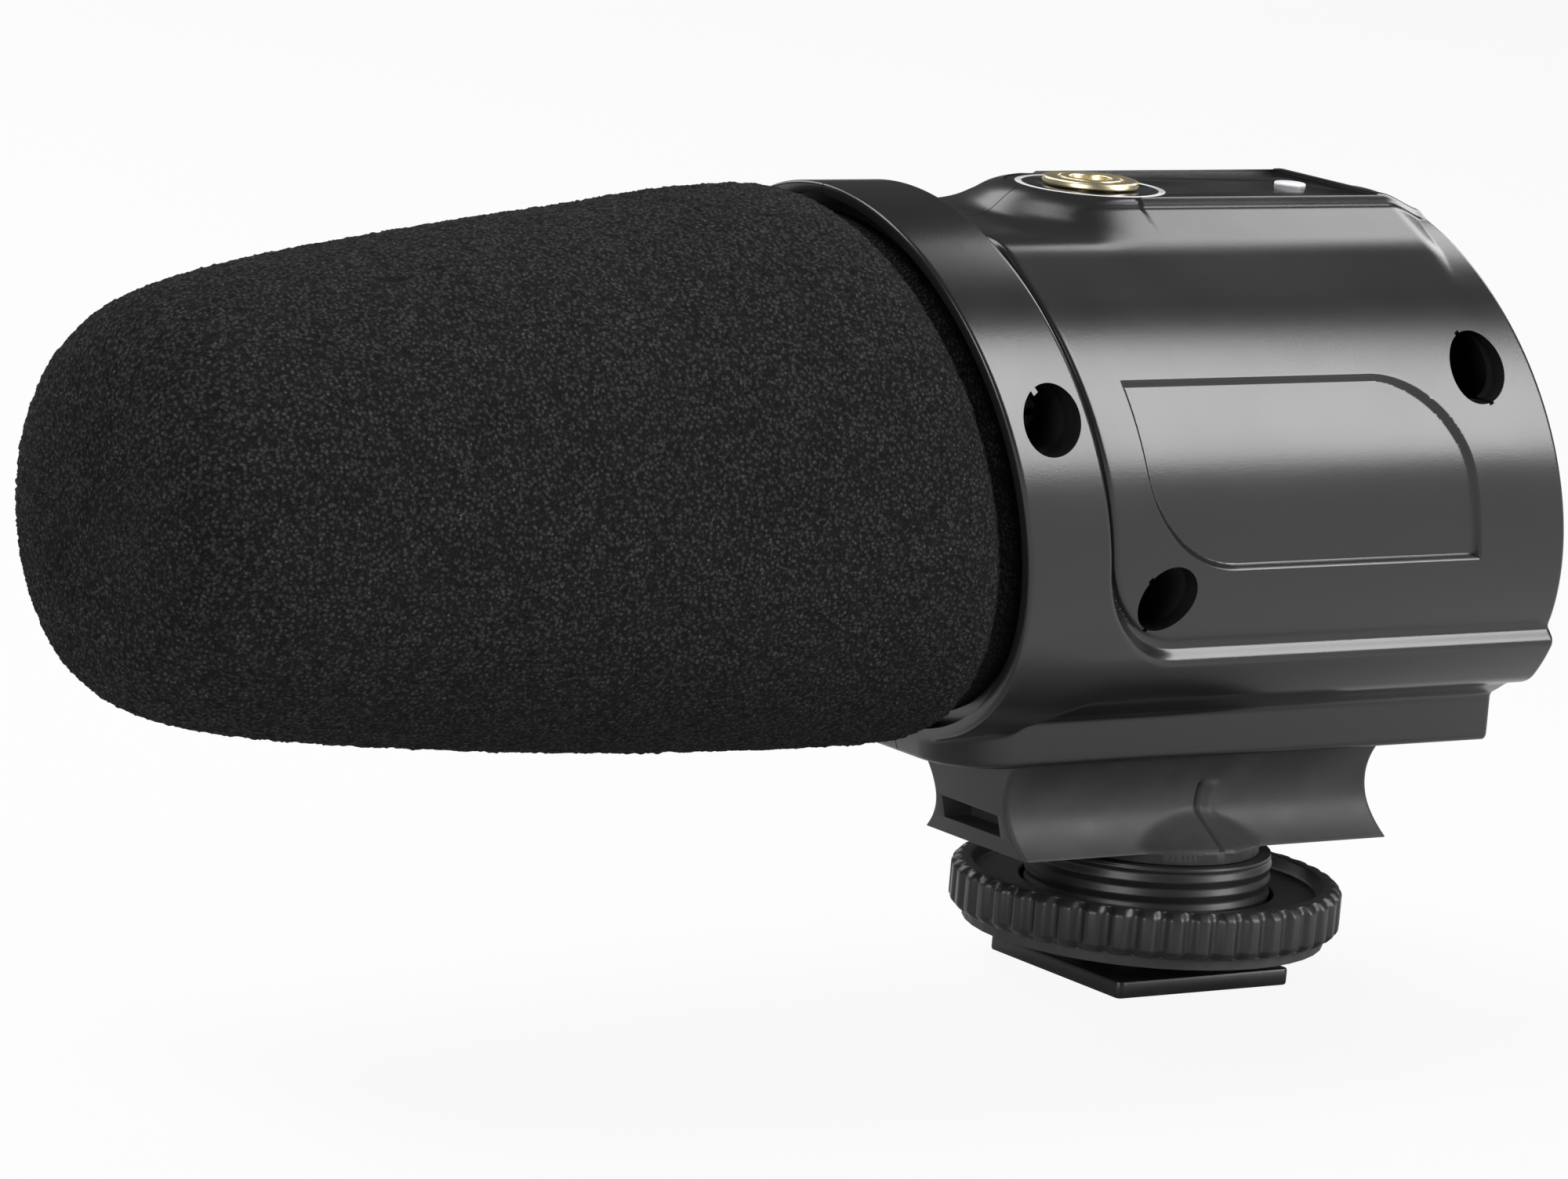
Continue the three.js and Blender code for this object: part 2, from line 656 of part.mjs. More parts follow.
// The slope at the island's rear end.
function islandBevelTool() {
  const start = rakedY(REAR_Y, ISLAND_TOP_Z) - ISLAND_BEVEL_LENGTH;
  const end = rakedY(REAR_Y, ISLAND_TOP_Z) + OVERRUN;
  const slope = ISLAND_BEVEL_DROP / ISLAND_BEVEL_LENGTH;
  const outline = polygon([
    [start, ISLAND_TOP_Z],
    [end, ISLAND_TOP_Z - slope * (end - start)],
    [end, ISLAND_TOP_Z + OVERRUN],
    [start, ISLAND_TOP_Z + OVERRUN],
  ]);
  return alongX(outline, -SIDE_RADIUS, SIDE_RADIUS);
}

// The outline of the control plate, rounded about the jack.
function plateOutline(margin) {
  const halfWidth = PLATE_HALF_WIDTH + margin;
  const shape = new THREE.Shape();
  shape.moveTo(halfWidth, PLATE_REAR_Y + margin);
  shape.lineTo(-halfWidth, PLATE_REAR_Y + margin);
  shape.absarc(0, JACK_Y, halfWidth, Math.PI, TURN, false);
  return shape;
}

function recessOutline() {
  return roundedRectangle(
    RECESS_FRONT_Y,
    RECESS_REAR_Y,
    RECESS_LOW_Z,
    RECESS_HIGH_Z,
    [RECESS_CORNER, 0, RECESS_CORNER, 0],
  );
}

function doorOutline(margin) {
  const corner = DOOR_CORNER + Math.max(margin, -DOOR_CORNER / 2);
  return roundedRectangle(
    DOOR_FRONT_Y - margin,
    DOOR_REAR_Y + margin,
    DOOR_LOW_Z - margin,
    DOOR_HIGH_Z + margin,
    [corner, corner, corner, corner],
  );
}

function barrelCore(radius) {
  return turnedAboutBarrel(rod(radius, RIM_Y - OVERRUN, REAR_Y + OVERRUN), LARGE_ROUND);
}

function recessTool() {
  const sheet = alongX(recessOutline(), 0, COLLAR_RADIUS + OVERRUN, LARGE_ROUND / 4);
  return rake(cut(sheet, barrelCore(SIDE_RADIUS - RECESS_DEPTH)));
}

function doorPocketTools() {
  const outside = -COLLAR_RADIUS - OVERRUN;
  const pocket = alongX(doorOutline(FIT), outside, -SIDE_RADIUS / 2);
  const seatRadius = SIDE_RADIUS - DOOR_THICKNESS - SEAT;
  const window = alongX(doorOutline(-DOOR_LEDGE), outside, -SIDE_RADIUS / 2);
  return [rake(cut(pocket, barrelCore(seatRadius))), rake(window)];
}

function switchTools() {
  const tools = [];
  for (const rise of [SWITCH_UPPER_RISE, SWITCH_LOWER_RISE]) {
    const pocketHalf = SWITCH_POCKET_WIDTH / 2;
    const slotHalf = SWITCH_STEM_WIDTH / 2 + SWITCH_TRAVEL + RUN;
    const slotRise = SWITCH_STEM_HEIGHT / 2 + RUN;
    const pocketRise = SWITCH_POCKET_HEIGHT / 2;
    tools.push(
      onRearFace(
        block(
          [-pocketHalf, -SWITCH_POCKET_DEPTH, rise - pocketRise],
          [pocketHalf, OVERRUN, rise + pocketRise],
        ),
      ),
      onRearFace(
        block([-slotHalf, -WALL - OVERRUN, rise - slotRise], [slotHalf, OVERRUN, rise + slotRise]),
      ),
    );
  }
  return tools;
}

// The roof's holes for the jack's bush and for the lamp.
function roofTools() {
  const top = ISLAND_TOP_Z + OVERRUN;
  const low = ROOF_UNDER_Z - OVERRUN;
  return [
    alongZ(plateOutline(FIT), PLATE_UNDER_Z - SEAT, top, LARGE_ROUND / 4),
    uprightRod(JACK_BUSH_RADIUS + RUN, low, top, 0, JACK_Y),
    uprightRod(LAMP_RADIUS + FIT, low, top, 0, LAMP_Y),
  ];
}

// The outside and the hollow, shared by both halves.
function housingShell() {
  const outside = rake(join(barrelSolid(), baseSolid()));
  return cut(
    outside,
    valleyTool(),
    islandBevelTool(),
    rake(hollowSolid()),
    ...roofTools(),
    ...switchTools(),
  );
}

const CASE_SCREWS = [
  { y: COLLAR_WELL_Y, z: COLLAR_WELL_Z, floorX: COLLAR_WELL_FLOOR_X, length: COLLAR_SCREW_LENGTH },
  { y: UPPER_WELL_Y, z: UPPER_WELL_Z, floorX: SIDE_WELL_FLOOR_X, length: SIDE_SCREW_LENGTH },
  { y: LOWER_WELL_Y, z: LOWER_WELL_Z, floorX: SIDE_WELL_FLOOR_X, length: SIDE_SCREW_LENGTH },
];
const [COLLAR_SCREW, UPPER_SCREW, LOWER_SCREW] = CASE_SCREWS;

function halfSpace(side) {
  const far = COLLAR_RADIUS * 2;
  const near = SPLIT_GAP / 2;
  const [low, high] = side > 0 ? [near, far] : [-far, -near];
  const front = rakedY(RIM_Y, AXIS_HEIGHT * 2);
  const rear = rakedY(REAR_Y, -AXIS_HEIGHT);
  return block([low, front, -AXIS_HEIGHT], [high, rear, AXIS_HEIGHT * 2]);
}

function boardShelf(side) {
  const outer = Math.sqrt(CAVITY_RADIUS ** 2 - (BOARD_UNDER_Z - AXIS_HEIGHT) ** 2) + WALL / 3;
  const inner = side > 0 ? BOARD_LEFT_X - SHELF_WIDTH : -outer + SHELF_WIDTH + WALL;
  const [low, high] = side > 0 ? [inner, outer] : [-outer, inner];
  const top = BOARD_UNDER_Z - SEAT;
  const middle = (BOARD_FRONT_Y + BOARD_REAR_Y) / 2;
  return block(
    [low, middle - SHELF_LENGTH / 2, top - SHELF_THICKNESS],
    [high, middle + SHELF_LENGTH / 2, top],
  );
}

function housingLeft(shell) {
  const half = overlap(shell, halfSpace(1));
  const insideWall = barrelCore(SIDE_RADIUS - WALL / 2);
  const bosses = [UPPER_SCREW, LOWER_SCREW].map(({ y, z }) =>
    overlap(sidewaysRod(BOSS_RADIUS, SPLIT_GAP / 2, SIDE_RADIUS, y, z), insideWall),
  );
  const wells = CASE_SCREWS.flatMap(({ y, z, floorX, length }) => [
    sidewaysRod(WELL_RADIUS, floorX, COLLAR_RADIUS + OVERRUN, y, z, MEDIUM_ROUND),
    sidewaysRod(SCREW_SHANK_RADIUS + FIT, floorX - length - OVERRUN, floorX + OVERRUN, y, z),
  ]);
  return cut(join(half, ...bosses, boardShelf(1)), recessTool(), ...wells);
}

function housingRight(shell) {
  const half = cut(overlap(shell, halfSpace(-1)), ...doorPocketTools());
  const near = -SPLIT_GAP / 2;
  const far = near - RIGHT_BOSS_LENGTH;
  const bosses = [UPPER_SCREW, LOWER_SCREW].map(({ y, z }) =>
    sidewaysRod(BOSS_RADIUS, far, near, y, z),
  );
  const rib = BOSS_RIB / 2;
  const ribs = [
    block(
      [far, UPPER_WELL_Y - rib, UPPER_WELL_Z],
      [near, UPPER_WELL_Y + rib, ROOF_UNDER_Z + ROOF_WALL / 4],
    ),
    block(
      [far, LOWER_WELL_Y - rib, AXIS_HEIGHT - SOCKET_BORE_RADIUS - WALL],
      [near, LOWER_WELL_Y + rib, LOWER_WELL_Z],
    ),
  ];
  const holes = [UPPER_SCREW, LOWER_SCREW].map(({ y, z, floorX, length }) =>
    sidewaysRod(SCREW_SHANK_RADIUS + FIT, floorX - length - FIT, OVERRUN, y, z),
  );
  return cut(join(half, ...bosses, ...ribs, boardShelf(-1)), ...holes);
}

// The holes that the block's screws take in the base.
function baseScrewTools() {
  const top = BLOCK_SCREW_HEAD_Z + BLOCK_SCREW_LENGTH + FIT;
  return BLOCK_SCREWS.map(({ x, y }) =>
    uprightRod(SCREW_SHANK_RADIUS + FIT, BASE_UNDER_Z - OVERRUN, top, x, y),
  );
}

// A pan head screw on the Z axis, head up, with the underside of its head at zero.
function screw(length) {
  const body = turned(
    [
      [0, -length],
      [SCREW_SHANK_RADIUS / 2, -length],
      [SCREW_SHANK_RADIUS, SCREW_SHANK_RADIUS / 2 - length],
      [SCREW_SHANK_RADIUS, 0],
      [SCREW_HEAD_RADIUS, 0],
      [SCREW_HEAD_RADIUS, SCREW_HEAD_HEIGHT / 2],
      [SCREW_HEAD_RADIUS / 2, SCREW_HEAD_HEIGHT],
      [0, SCREW_HEAD_HEIGHT],
    ],
    SMALL_ROUND,
  );
  const top = SCREW_HEAD_HEIGHT + OVERRUN;
  const bottom = SCREW_HEAD_HEIGHT - SCREW_DRIVE_DEPTH;
  const blade = SCREW_DRIVE_RADIUS / 4;
  return cut(
    body,
    block([-SCREW_DRIVE_RADIUS, -blade, bottom], [SCREW_DRIVE_RADIUS, blade, top]),
    block([-blade, -SCREW_DRIVE_RADIUS, bottom], [blade, SCREW_DRIVE_RADIUS, top]),
  );
}

function caseScrews() {
  return CASE_SCREWS.map(({ y, z, floorX, length }, index) => {
    const mesh = piece(`case_screw_${index + 1}`, screw(length), "darkSteel");
    mesh.rotation.y = QUARTER;
    mesh.position.set(floorX + SEAT, y, z);
    return mesh;
  });
}

function blockScrews() {
  return BLOCK_SCREWS.map(({ x, y }, index) => {
    const mesh = piece(`block_screw_${index + 1}`, screw(BLOCK_SCREW_LENGTH), "darkSteel");
    mesh.rotation.x = Math.PI;
    mesh.position.set(x, y, BLOCK_SCREW_HEAD_Z - SEAT);
    return mesh;
  });
}

// The control plate, jack and lamp

function controlPlate() {
  const plate = alongZ(plateOutline(0), PLATE_UNDER_Z, PLATE_TOP_Z, LARGE_ROUND / 4);
  const low = PLATE_UNDER_Z - OVERRUN;
  const high = PLATE_TOP_Z + OVERRUN;
  return cut(
    plate,
    uprightRod(JACK_BUSH_RADIUS + FIT, low, high, 0, JACK_Y),
    uprightRod(LAMP_RADIUS + FIT, low, high, 0, LAMP_Y),
  );
}

function outputJack() {
  const top = ROOF_UNDER_Z - SEAT;
  const low = top - JACK_BODY_HEIGHT;
  const bushTop = PLATE_TOP_Z + JACK_BUSH_PROUD;
  const halfWidth = JACK_BODY_WIDTH / 2;
  const halfLength = JACK_BODY_LENGTH / 2;
  const body = block([-halfWidth, JACK_Y - halfLength, low], [halfWidth, JACK_Y + halfLength, top]);
  const bush = uprightRod(JACK_BUSH_RADIUS, low + WALL, bushTop, 0, JACK_Y, MEDIUM_ROUND);
  const bore = uprightRod(JACK_BORE_RADIUS, low + WALL, bushTop + OVERRUN, 0, JACK_Y);
  return cut(join(body, bush), bore);
}

function jackNut() {
  const low = PLATE_TOP_Z + SEAT;
  const high = low + JACK_NUT_HEIGHT;
  const chamfer = JACK_NUT_HEIGHT / 4;
  const inner = JACK_BUSH_RADIUS + SEAT;
  return turned(
    [
      [inner, low],
      [JACK_NUT_RADIUS, low],
      [JACK_NUT_RADIUS, high - chamfer],
      [JACK_NUT_RADIUS - chamfer, high],
      [inner, high],
      [inner, low],
    ],
    MEDIUM_ROUND,
  ).translate(0, JACK_Y, 0);
}

function lampLens() {
  const top = PLATE_TOP_Z + LAMP_PROUD;
  const flangeTop = ROOF_UNDER_Z - SEAT;
  const low = flangeTop - LAMP_FLANGE_HEIGHT;
  return turned(
    [
      [0, low],
      [LAMP_FLANGE_RADIUS, low],
      [LAMP_FLANGE_RADIUS, flangeTop],
      [LAMP_RADIUS, flangeTop],
      [LAMP_RADIUS, top - LAMP_PROUD],
      [LAMP_RADIUS - LAMP_PROUD, top],
      [0, top],
    ],
    SMALL_ROUND,
  ).translate(0, LAMP_Y, 0);
}

function circuitBoard() {
  const board = block(
    [BOARD_RIGHT_X, BOARD_FRONT_Y, BOARD_UNDER_Z],
    [BOARD_LEFT_X, BOARD_REAR_Y, BOARD_TOP_Z],
  );
  const chipX = (JACK_BODY_WIDTH / 2 + BOARD_LEFT_X) / 2;
  const chipHalf = CHIP_WIDTH / 2;
  const chip = block(
    [chipX - chipHalf, JACK_Y, BOARD_TOP_Z - BOARD_THICKNESS / 2],
    [chipX + chipHalf, JACK_Y + CHIP_LENGTH, BOARD_TOP_Z + CHIP_HEIGHT],
  );
  const canY = BOARD_REAR_Y - CAN_RADIUS * 2;
  const cans = [-CAN_RADIUS, CAN_RADIUS + CAN_RADIUS].map((x) =>
    uprightRod(CAN_RADIUS, BOARD_TOP_Z - BOARD_THICKNESS / 2, BOARD_TOP_Z + CAN_HEIGHT, x, canY),
  );
  return join(board, chip, ...cans);
}

// The battery, its tray, contacts and cover

function battery() {
  const front = CELL_MIDDLE_Y - CELL_LENGTH / 2;
  const rear = CELL_MIDDLE_Y + CELL_LENGTH / 2;
  return turnedAboutBarrel(
    [
      [0, front - CELL_NUB_HEIGHT],
      [CELL_NUB_RADIUS, front - CELL_NUB_HEIGHT],
      [CELL_NUB_RADIUS, front],
      [CELL_RADIUS - CELL_CHAMFER, front],
      [CELL_RADIUS, front + CELL_CHAMFER],
      [CELL_RADIUS, rear - CELL_CHAMFER],
      [CELL_RADIUS - CELL_CHAMFER, rear],
      [0, rear],
    ],
    MEDIUM_ROUND,
  ).translate(CELL_X, 0, CELL_Z - AXIS_HEIGHT);
}

const CONTACT_FRONT_Y = CELL_MIDDLE_Y - CELL_LENGTH / 2 - CELL_NUB_HEIGHT - CONTACT_DIMPLE - SEAT;
const CONTACT_REAR_Y = CELL_MIDDLE_Y + CELL_LENGTH / 2 + CONTACT_DIMPLE + SEAT;

// A pressed plate whose dimple touches the cell; facing is the side the dimple is on.
function batteryContact(faceY, facing) {
  const halfWidth = CONTACT_WIDTH / 2;
  const halfHeight = CONTACT_HEIGHT / 2;
  const backY = faceY - facing * CONTACT_THICKNESS;
  const plate = block(
    [CELL_X - halfWidth, Math.min(faceY, backY), CELL_Z - halfHeight],
    [CELL_X + halfWidth, Math.max(faceY, backY), CELL_Z + halfHeight],
  );
  const dimple = turned(
    [
      [0, -CONTACT_THICKNESS / 2],
      [CONTACT_DIMPLE_RADIUS, -CONTACT_THICKNESS / 2],
      [CONTACT_DIMPLE_RADIUS, 0],
      [CONTACT_DIMPLE_RADIUS / 2, CONTACT_DIMPLE],
      [0, CONTACT_DIMPLE],
    ],
    SMALL_ROUND,
  )
    .rotateX(-facing * QUARTER)
    .translate(CELL_X, faceY, CELL_Z);
  return join(plate, dimple);
}

function batteryTray() {
  const backX = CELL_X + CELL_RADIUS + FIT;
  const front = CONTACT_FRONT_Y - CONTACT_THICKNESS - SEAT;
  const rear = CONTACT_REAR_Y + CONTACT_THICKNESS + SEAT;
  const low = CELL_Z - TRAY_HALF_HEIGHT;
  const high = CELL_Z + TRAY_HALF_HEIGHT;
  const endX = backX - TRAY_REACH;
  return join(
    block([backX, front - TRAY_WALL, low], [backX + TRAY_WALL, rear + TRAY_WALL, high]),
    block([endX, front - TRAY_WALL, low], [backX + TRAY_WALL, front, high]),
    block([endX, rear, low], [backX + TRAY_WALL, rear + TRAY_WALL, high]),
  );
}

function batteryCover() {
  const sheet = alongX(doorOutline(0), -COLLAR_RADIUS - OVERRUN, -SIDE_RADIUS / 2);
  const skin = overlap(sheet, barrelCore(SIDE_RADIUS));
  const cover = cut(skin, barrelCore(SIDE_RADIUS - DOOR_THICKNESS));
  const grips = [];
  for (let index = 0; index < DOOR_GRIP_COUNT; index += 1) {
    const z = DOOR_HIGH_Z - DOOR_GRIP_PITCH * (index + 1);
    const middle = (DOOR_FRONT_Y + DOOR_REAR_Y) / 2;
    const bar = block(
      [-COLLAR_RADIUS - OVERRUN, middle - DOOR_GRIP_LENGTH / 2, z - DOOR_GRIP_HEIGHT / 2],
      [-SIDE_RADIUS / 2, middle + DOOR_GRIP_LENGTH / 2, z + DOOR_GRIP_HEIGHT / 2],
    );
    grips.push(cut(bar, barrelCore(SIDE_RADIUS - DOOR_GRIP_DEPTH)));
  }
  return rake(cut(cover, ...grips));
}

// The slide switches, drawn in the rear face's own frame

function switchBody(rise) {
  const front = -WALL * Math.cos(REAR_FACE_TILT) - SEAT;
  const halfWidth = SWITCH_BODY_WIDTH / 2;
  const halfHeight = SWITCH_BODY_HEIGHT / 2;
  const body = block(
    [-halfWidth, front - SWITCH_BODY_DEPTH, rise - halfHeight],
    [halfWidth, front, rise + halfHeight],
  );
  const slotHalf = SWITCH_STEM_WIDTH / 2 + SWITCH_TRAVEL + RUN;
  const slotRise = SWITCH_STEM_HEIGHT / 2 + RUN;
  const slotDepth = SWITCH_STEM_INSERT + RUN;
  const slot = block(
    [-slotHalf, front - slotDepth, rise - slotRise],
    [slotHalf, front + OVERRUN, rise + slotRise],
  );
  return cut(body, slot);
}

function switchKnob(rise) {
  const pocketFloor = -SWITCH_POCKET_DEPTH;
  const inside = -WALL * Math.cos(REAR_FACE_TILT) - SEAT - SWITCH_STEM_INSERT;
  const top = KNOB_PROUD - KNOB_RIB_HEIGHT;
  const halfWidth = KNOB_WIDTH / 2;
  const halfHeight = KNOB_HEIGHT / 2;
  const solids = [
    block(
      [-SWITCH_STEM_WIDTH / 2, inside, rise - SWITCH_STEM_HEIGHT / 2],
      [SWITCH_STEM_WIDTH / 2, 0, rise + SWITCH_STEM_HEIGHT / 2],
    ),
    block(
      [-halfWidth, pocketFloor + FIT, rise - halfHeight],
      [halfWidth, top, rise + halfHeight],
    ),
  ];
  const pitch = KNOB_WIDTH / KNOB_RIB_COUNT;
  for (let index = 0; index < KNOB_RIB_COUNT; index += 1) {
    const x = (index + 1 / 2) * pitch - halfWidth;
    solids.push(
      block(
        [x - KNOB_RIB_WIDTH / 2, 0, rise - halfHeight],
        [x + KNOB_RIB_WIDTH / 2, KNOB_PROUD, rise + halfHeight],
      ),
    );
  }
  return join(...solids);
}

function rearControls() {
  const face = new THREE.Group();
  face.rotation.x = REAR_FACE_TILT;
  face.position.set(0, REAR_Y, AXIS_HEIGHT);
  const switches = [
    ["power", SWITCH_UPPER_RISE],
    ["level", SWITCH_LOWER_RISE],
  ];
  for (const [name, rise] of switches) {
    face.add(
      piece(`${name}_switch_body`, switchBody(rise), "tray"),
      piece(`${name}_switch_knob`, switchKnob(rise), "plate"),
    );
  }
  return face;
}

// The rubber block under the base

function blockOutline(inset) {
  const low = BLOCK_UNDER_HALF_WIDTH - inset;
  const waist = BLOCK_WAIST_HALF_WIDTH - inset;
  const top = BLOCK_TOP_HALF_WIDTH - inset;
  const height = BLOCK_TOP_Z - BLOCK_UNDER_Z;
  const waistZ = BLOCK_UNDER_Z + height * WAIST_SHARE;
  const flareZ = (BLOCK_UNDER_Z + waistZ) / 2;
  const lipZ = (BLOCK_TOP_Z + waistZ) / 2;
  const shape = new THREE.Shape();
  shape.moveTo(-low, BLOCK_UNDER_Z);
  shape.lineTo(low, BLOCK_UNDER_Z);
  shape.quadraticCurveTo(waist, flareZ, waist, waistZ);
  shape.quadraticCurveTo(waist, lipZ, top, BLOCK_TOP_Z);
  shape.lineTo(-top, BLOCK_TOP_Z);
  shape.quadraticCurveTo(-waist, lipZ, -waist, waistZ);
  shape.quadraticCurveTo(-waist, flareZ, -low, BLOCK_UNDER_Z);
  return shape;
}

function rubberBlock() {
  const body = rake(alongY(blockOutline(0), BLOCK_FRONT_Y, BLOCK_REAR_Y));
  const bossUnder = BLOCK_UNDER_Z - BLOCK_BOSS_DROP;
  const bossEdge = BLOCK_UNDER_Z + BLOCK_BOSS_STRAIGHT;
  const bossTop = BLOCK_SLOT_Z + BLOCK_BOSS_STRAIGHT * 2;
  const boss = turned(
    [
      [0, bossUnder],
      [BLOCK_BOSS_RADIUS, bossUnder],
      [BLOCK_BOSS_RADIUS, BLOCK_UNDER_Z],
      [BLOCK_BOSS_RADIUS - BLOCK_BOSS_STRAIGHT, bossEdge],
      [BLOCK_BOSS_MIDDLE_RADIUS, BLOCK_UNDER_Z + BLOCK_BOSS_MIDDLE_RISE],
      [BLOCK_BOSS_TOP_RADIUS, bossTop],
      [0, bossTop],
    ],
    LARGE_ROUND,
  );
  const slotHalf = BLOCK_SLOT_WIDTH / 2;
  const slotRise = BLOCK_SLOT_HEIGHT / 2;
  const slotFront = rakedY(BLOCK_FRONT_Y, BLOCK_SLOT_Z);
  const slot = block(
    [-slotHalf, slotFront - OVERRUN, BLOCK_SLOT_Z - slotRise],
    [slotHalf, slotFront + BLOCK_SLOT_DEPTH, BLOCK_SLOT_Z + slotRise],
  );
  const seamFront = SEAM_Y - SEAM_WIDTH / 2;
  const seamRear = SEAM_Y + SEAM_WIDTH / 2;
  const seam = cut(
    block(
      [-BLOCK_UNDER_HALF_WIDTH - OVERRUN, seamFront, bossEdge],
      [BLOCK_UNDER_HALF_WIDTH + OVERRUN, seamRear, BLOCK_UNDER_Z + (BLOCK_TOP_Z - BLOCK_UNDER_Z) / 2],
    ),
    alongY(blockOutline(SEAM_DEPTH), seamFront - OVERRUN, seamRear + OVERRUN),
  );
  const nutWell = uprightRod(NUT_WELL_RADIUS, BLOCK_UNDER_Z, BASE_UNDER_Z, 0, 0, 6);
  const stemHole = uprightRod(STEM_RADIUS + FIT, bossUnder - OVERRUN, BASE_UNDER_Z, 0, 0);
  const screwWells = BLOCK_SCREWS.flatMap(({ x, y }) => [
    uprightRod(WELL_RADIUS, BLOCK_UNDER_Z - OVERRUN, BLOCK_SCREW_HEAD_Z, x, y),
    uprightRod(SCREW_SHANK_RADIUS + FIT, BLOCK_UNDER_Z - OVERRUN, BASE_UNDER_Z, x, y),
  ]);
  return cut(join(body, boss), slot, seam, nutWell, stemHole, ...screwWells);
}

// The shoe mount

function threadedNeck() {
  const bore = STEM_RADIUS + FIT;
  return turned(
    [
      [bore, NECK_UNDER_Z],
      [NECK_RADIUS - NECK_CHAMFER, NECK_UNDER_Z],
      [NECK_RADIUS, NECK_UNDER_Z + NECK_CHAMFER],
      [NECK_RADIUS, NECK_TOP_Z],
      [bore, NECK_TOP_Z],
      [bore, NECK_UNDER_Z],
    ],
    LARGE_ROUND,
  );
}

function neckNut() {
  const radius = NUT_ACROSS_FLATS / 2 / Math.cos(Math.PI / 6);
  const hexagon = turned(rod(radius, NUT_UNDER_Z, NUT_UNDER_Z + NUT_HEIGHT), 6);
  const bore = uprightRod(STEM_RADIUS + SEAT, NUT_UNDER_Z - OVERRUN, BASE_UNDER_Z, 0, 0);
  return cut(hexagon, bore);
}

// The ridged edge of the lock ring, as waves about a circle.
function ridgedOutline() {
  const shape = new THREE.Shape();
  const step = TURN / RIDGE_COUNT;
  const valley = RING_RADIUS - RIDGE_DEPTH;
  const shareStep = step / 4;
  const at = (radius, angle) => [radius * Math.cos(angle), radius * Math.sin(angle)];
  shape.moveTo(...at(valley, 0));
  for (let index = 0; index < RIDGE_COUNT; index += 1) {
    const angle = index * step;
    shape.lineTo(...at(RING_RADIUS, angle + shareStep));
    shape.lineTo(...at(RING_RADIUS, angle + shareStep + shareStep));
    shape.lineTo(...at(valley, angle + step - shareStep));
    if (index + 1 < RIDGE_COUNT) shape.lineTo(...at(valley, angle + step));
  }
  return shape;
}

function lockRing() {
  const top = RING_UNDER_Z + RING_HEIGHT;
  const bore = NECK_RADIUS + RUN;
  const rimInner = RING_RADIUS - RIDGE_DEPTH - RING_CHAMFER - RING_RIM;
  const outer = RING_RADIUS + RING_CHAMFER;
  const turnedForm = turned(
    [
      [bore, RING_UNDER_Z],
      [RING_RADIUS - RING_CHAMFER, RING_UNDER_Z],
      [outer, RING_UNDER_Z + RING_CHAMFER + RING_CHAMFER],
      [outer, top - RING_CHAMFER - RING_CHAMFER],
      [RING_RADIUS - RING_CHAMFER, top],
      [rimInner, top],
      [rimInner - RING_BEVEL, top - RING_DISH_DEPTH],
      [bore, top - RING_DISH_DEPTH],
      [bore, RING_UNDER_Z],
    ],
    LARGE_ROUND,
  );
  const edge = alongZ(ridgedOutline(), RING_UNDER_Z - OVERRUN, top + OVERRUN);
  return overlap(turnedForm, edge);
}

// A circle with two flats, for the post and for the hole that it keys.
function flattedCircle(radius, flat) {
  const side = Math.acos(flat / radius);
  const shape = new THREE.Shape();
  shape.absarc(0, 0, radius, side, Math.PI - side, false);
  shape.absarc(0, 0, radius, Math.PI + side, TURN - side, false);
  return shape;
}

function gripWasher() {
  const low = WASHER_UNDER_Z;
  const top = low + WASHER_THICKNESS;
  const disc = turned(rod(WASHER_RADIUS, low, top), LARGE_ROUND);
  const key = flattedCircle(POST_RADIUS + FIT, POST_FLAT + FIT);
  return cut(disc, alongZ(key, low - OVERRUN, top + OVERRUN));
}

function shoeFoot() {
  const half = FOOT_SIDE / 2;
  const outline = roundedRectangle(
    -half,
    half,
    -half,
    half,
    [FOOT_CORNER, FOOT_CORNER, FOOT_CORNER, FOOT_CORNER],
  );
  const plate = new THREE.ExtrudeGeometry(outline, {
    depth: FOOT_THICKNESS - FOOT_CHAMFER * 2,
    bevelThickness: FOOT_CHAMFER,
    bevelSize: FOOT_CHAMFER,
    bevelOffset: -FOOT_CHAMFER,
    bevelSegments: 1,
    curveSegments: ARC_STEPS,
  }).translate(0, 0, FOOT_CHAMFER);
  const inside = FOOT_THICKNESS / 2;
  const post = alongZ(flattedCircle(POST_RADIUS, POST_FLAT), inside, POST_TOP_Z);
  const stemTop = NUT_UNDER_Z + NUT_HEIGHT + STEM_PROUD;
  const stem = uprightRod(STEM_RADIUS, inside, stemTop, 0, 0);
  return join(plate, post, stem);
}

// The tube with its socket, grille and capsule

function tubeSocket() {
  const front = RIM_Y + LIP_DEPTH + SEAT;
  const disc = rake(
    turnedAboutBarrel(rod(SOCKET_BORE_RADIUS - FIT, front, front + SOCKET_LENGTH), LARGE_ROUND),
  );
  const far = RIM_Y - COLLAR_RADIUS;
  const bore = turnedAboutBarrel(rod(TUBE_RADIUS + FIT, far, REAR_Y), MEDIUM_ROUND);
  const { y, z, floorX, length } = COLLAR_SCREW;
  const screwHole = sidewaysRod(SCREW_SHANK_RADIUS + FIT, floorX - length - FIT, COLLAR_RADIUS, y, z);
  return cut(disc, bore, screwHole);
}

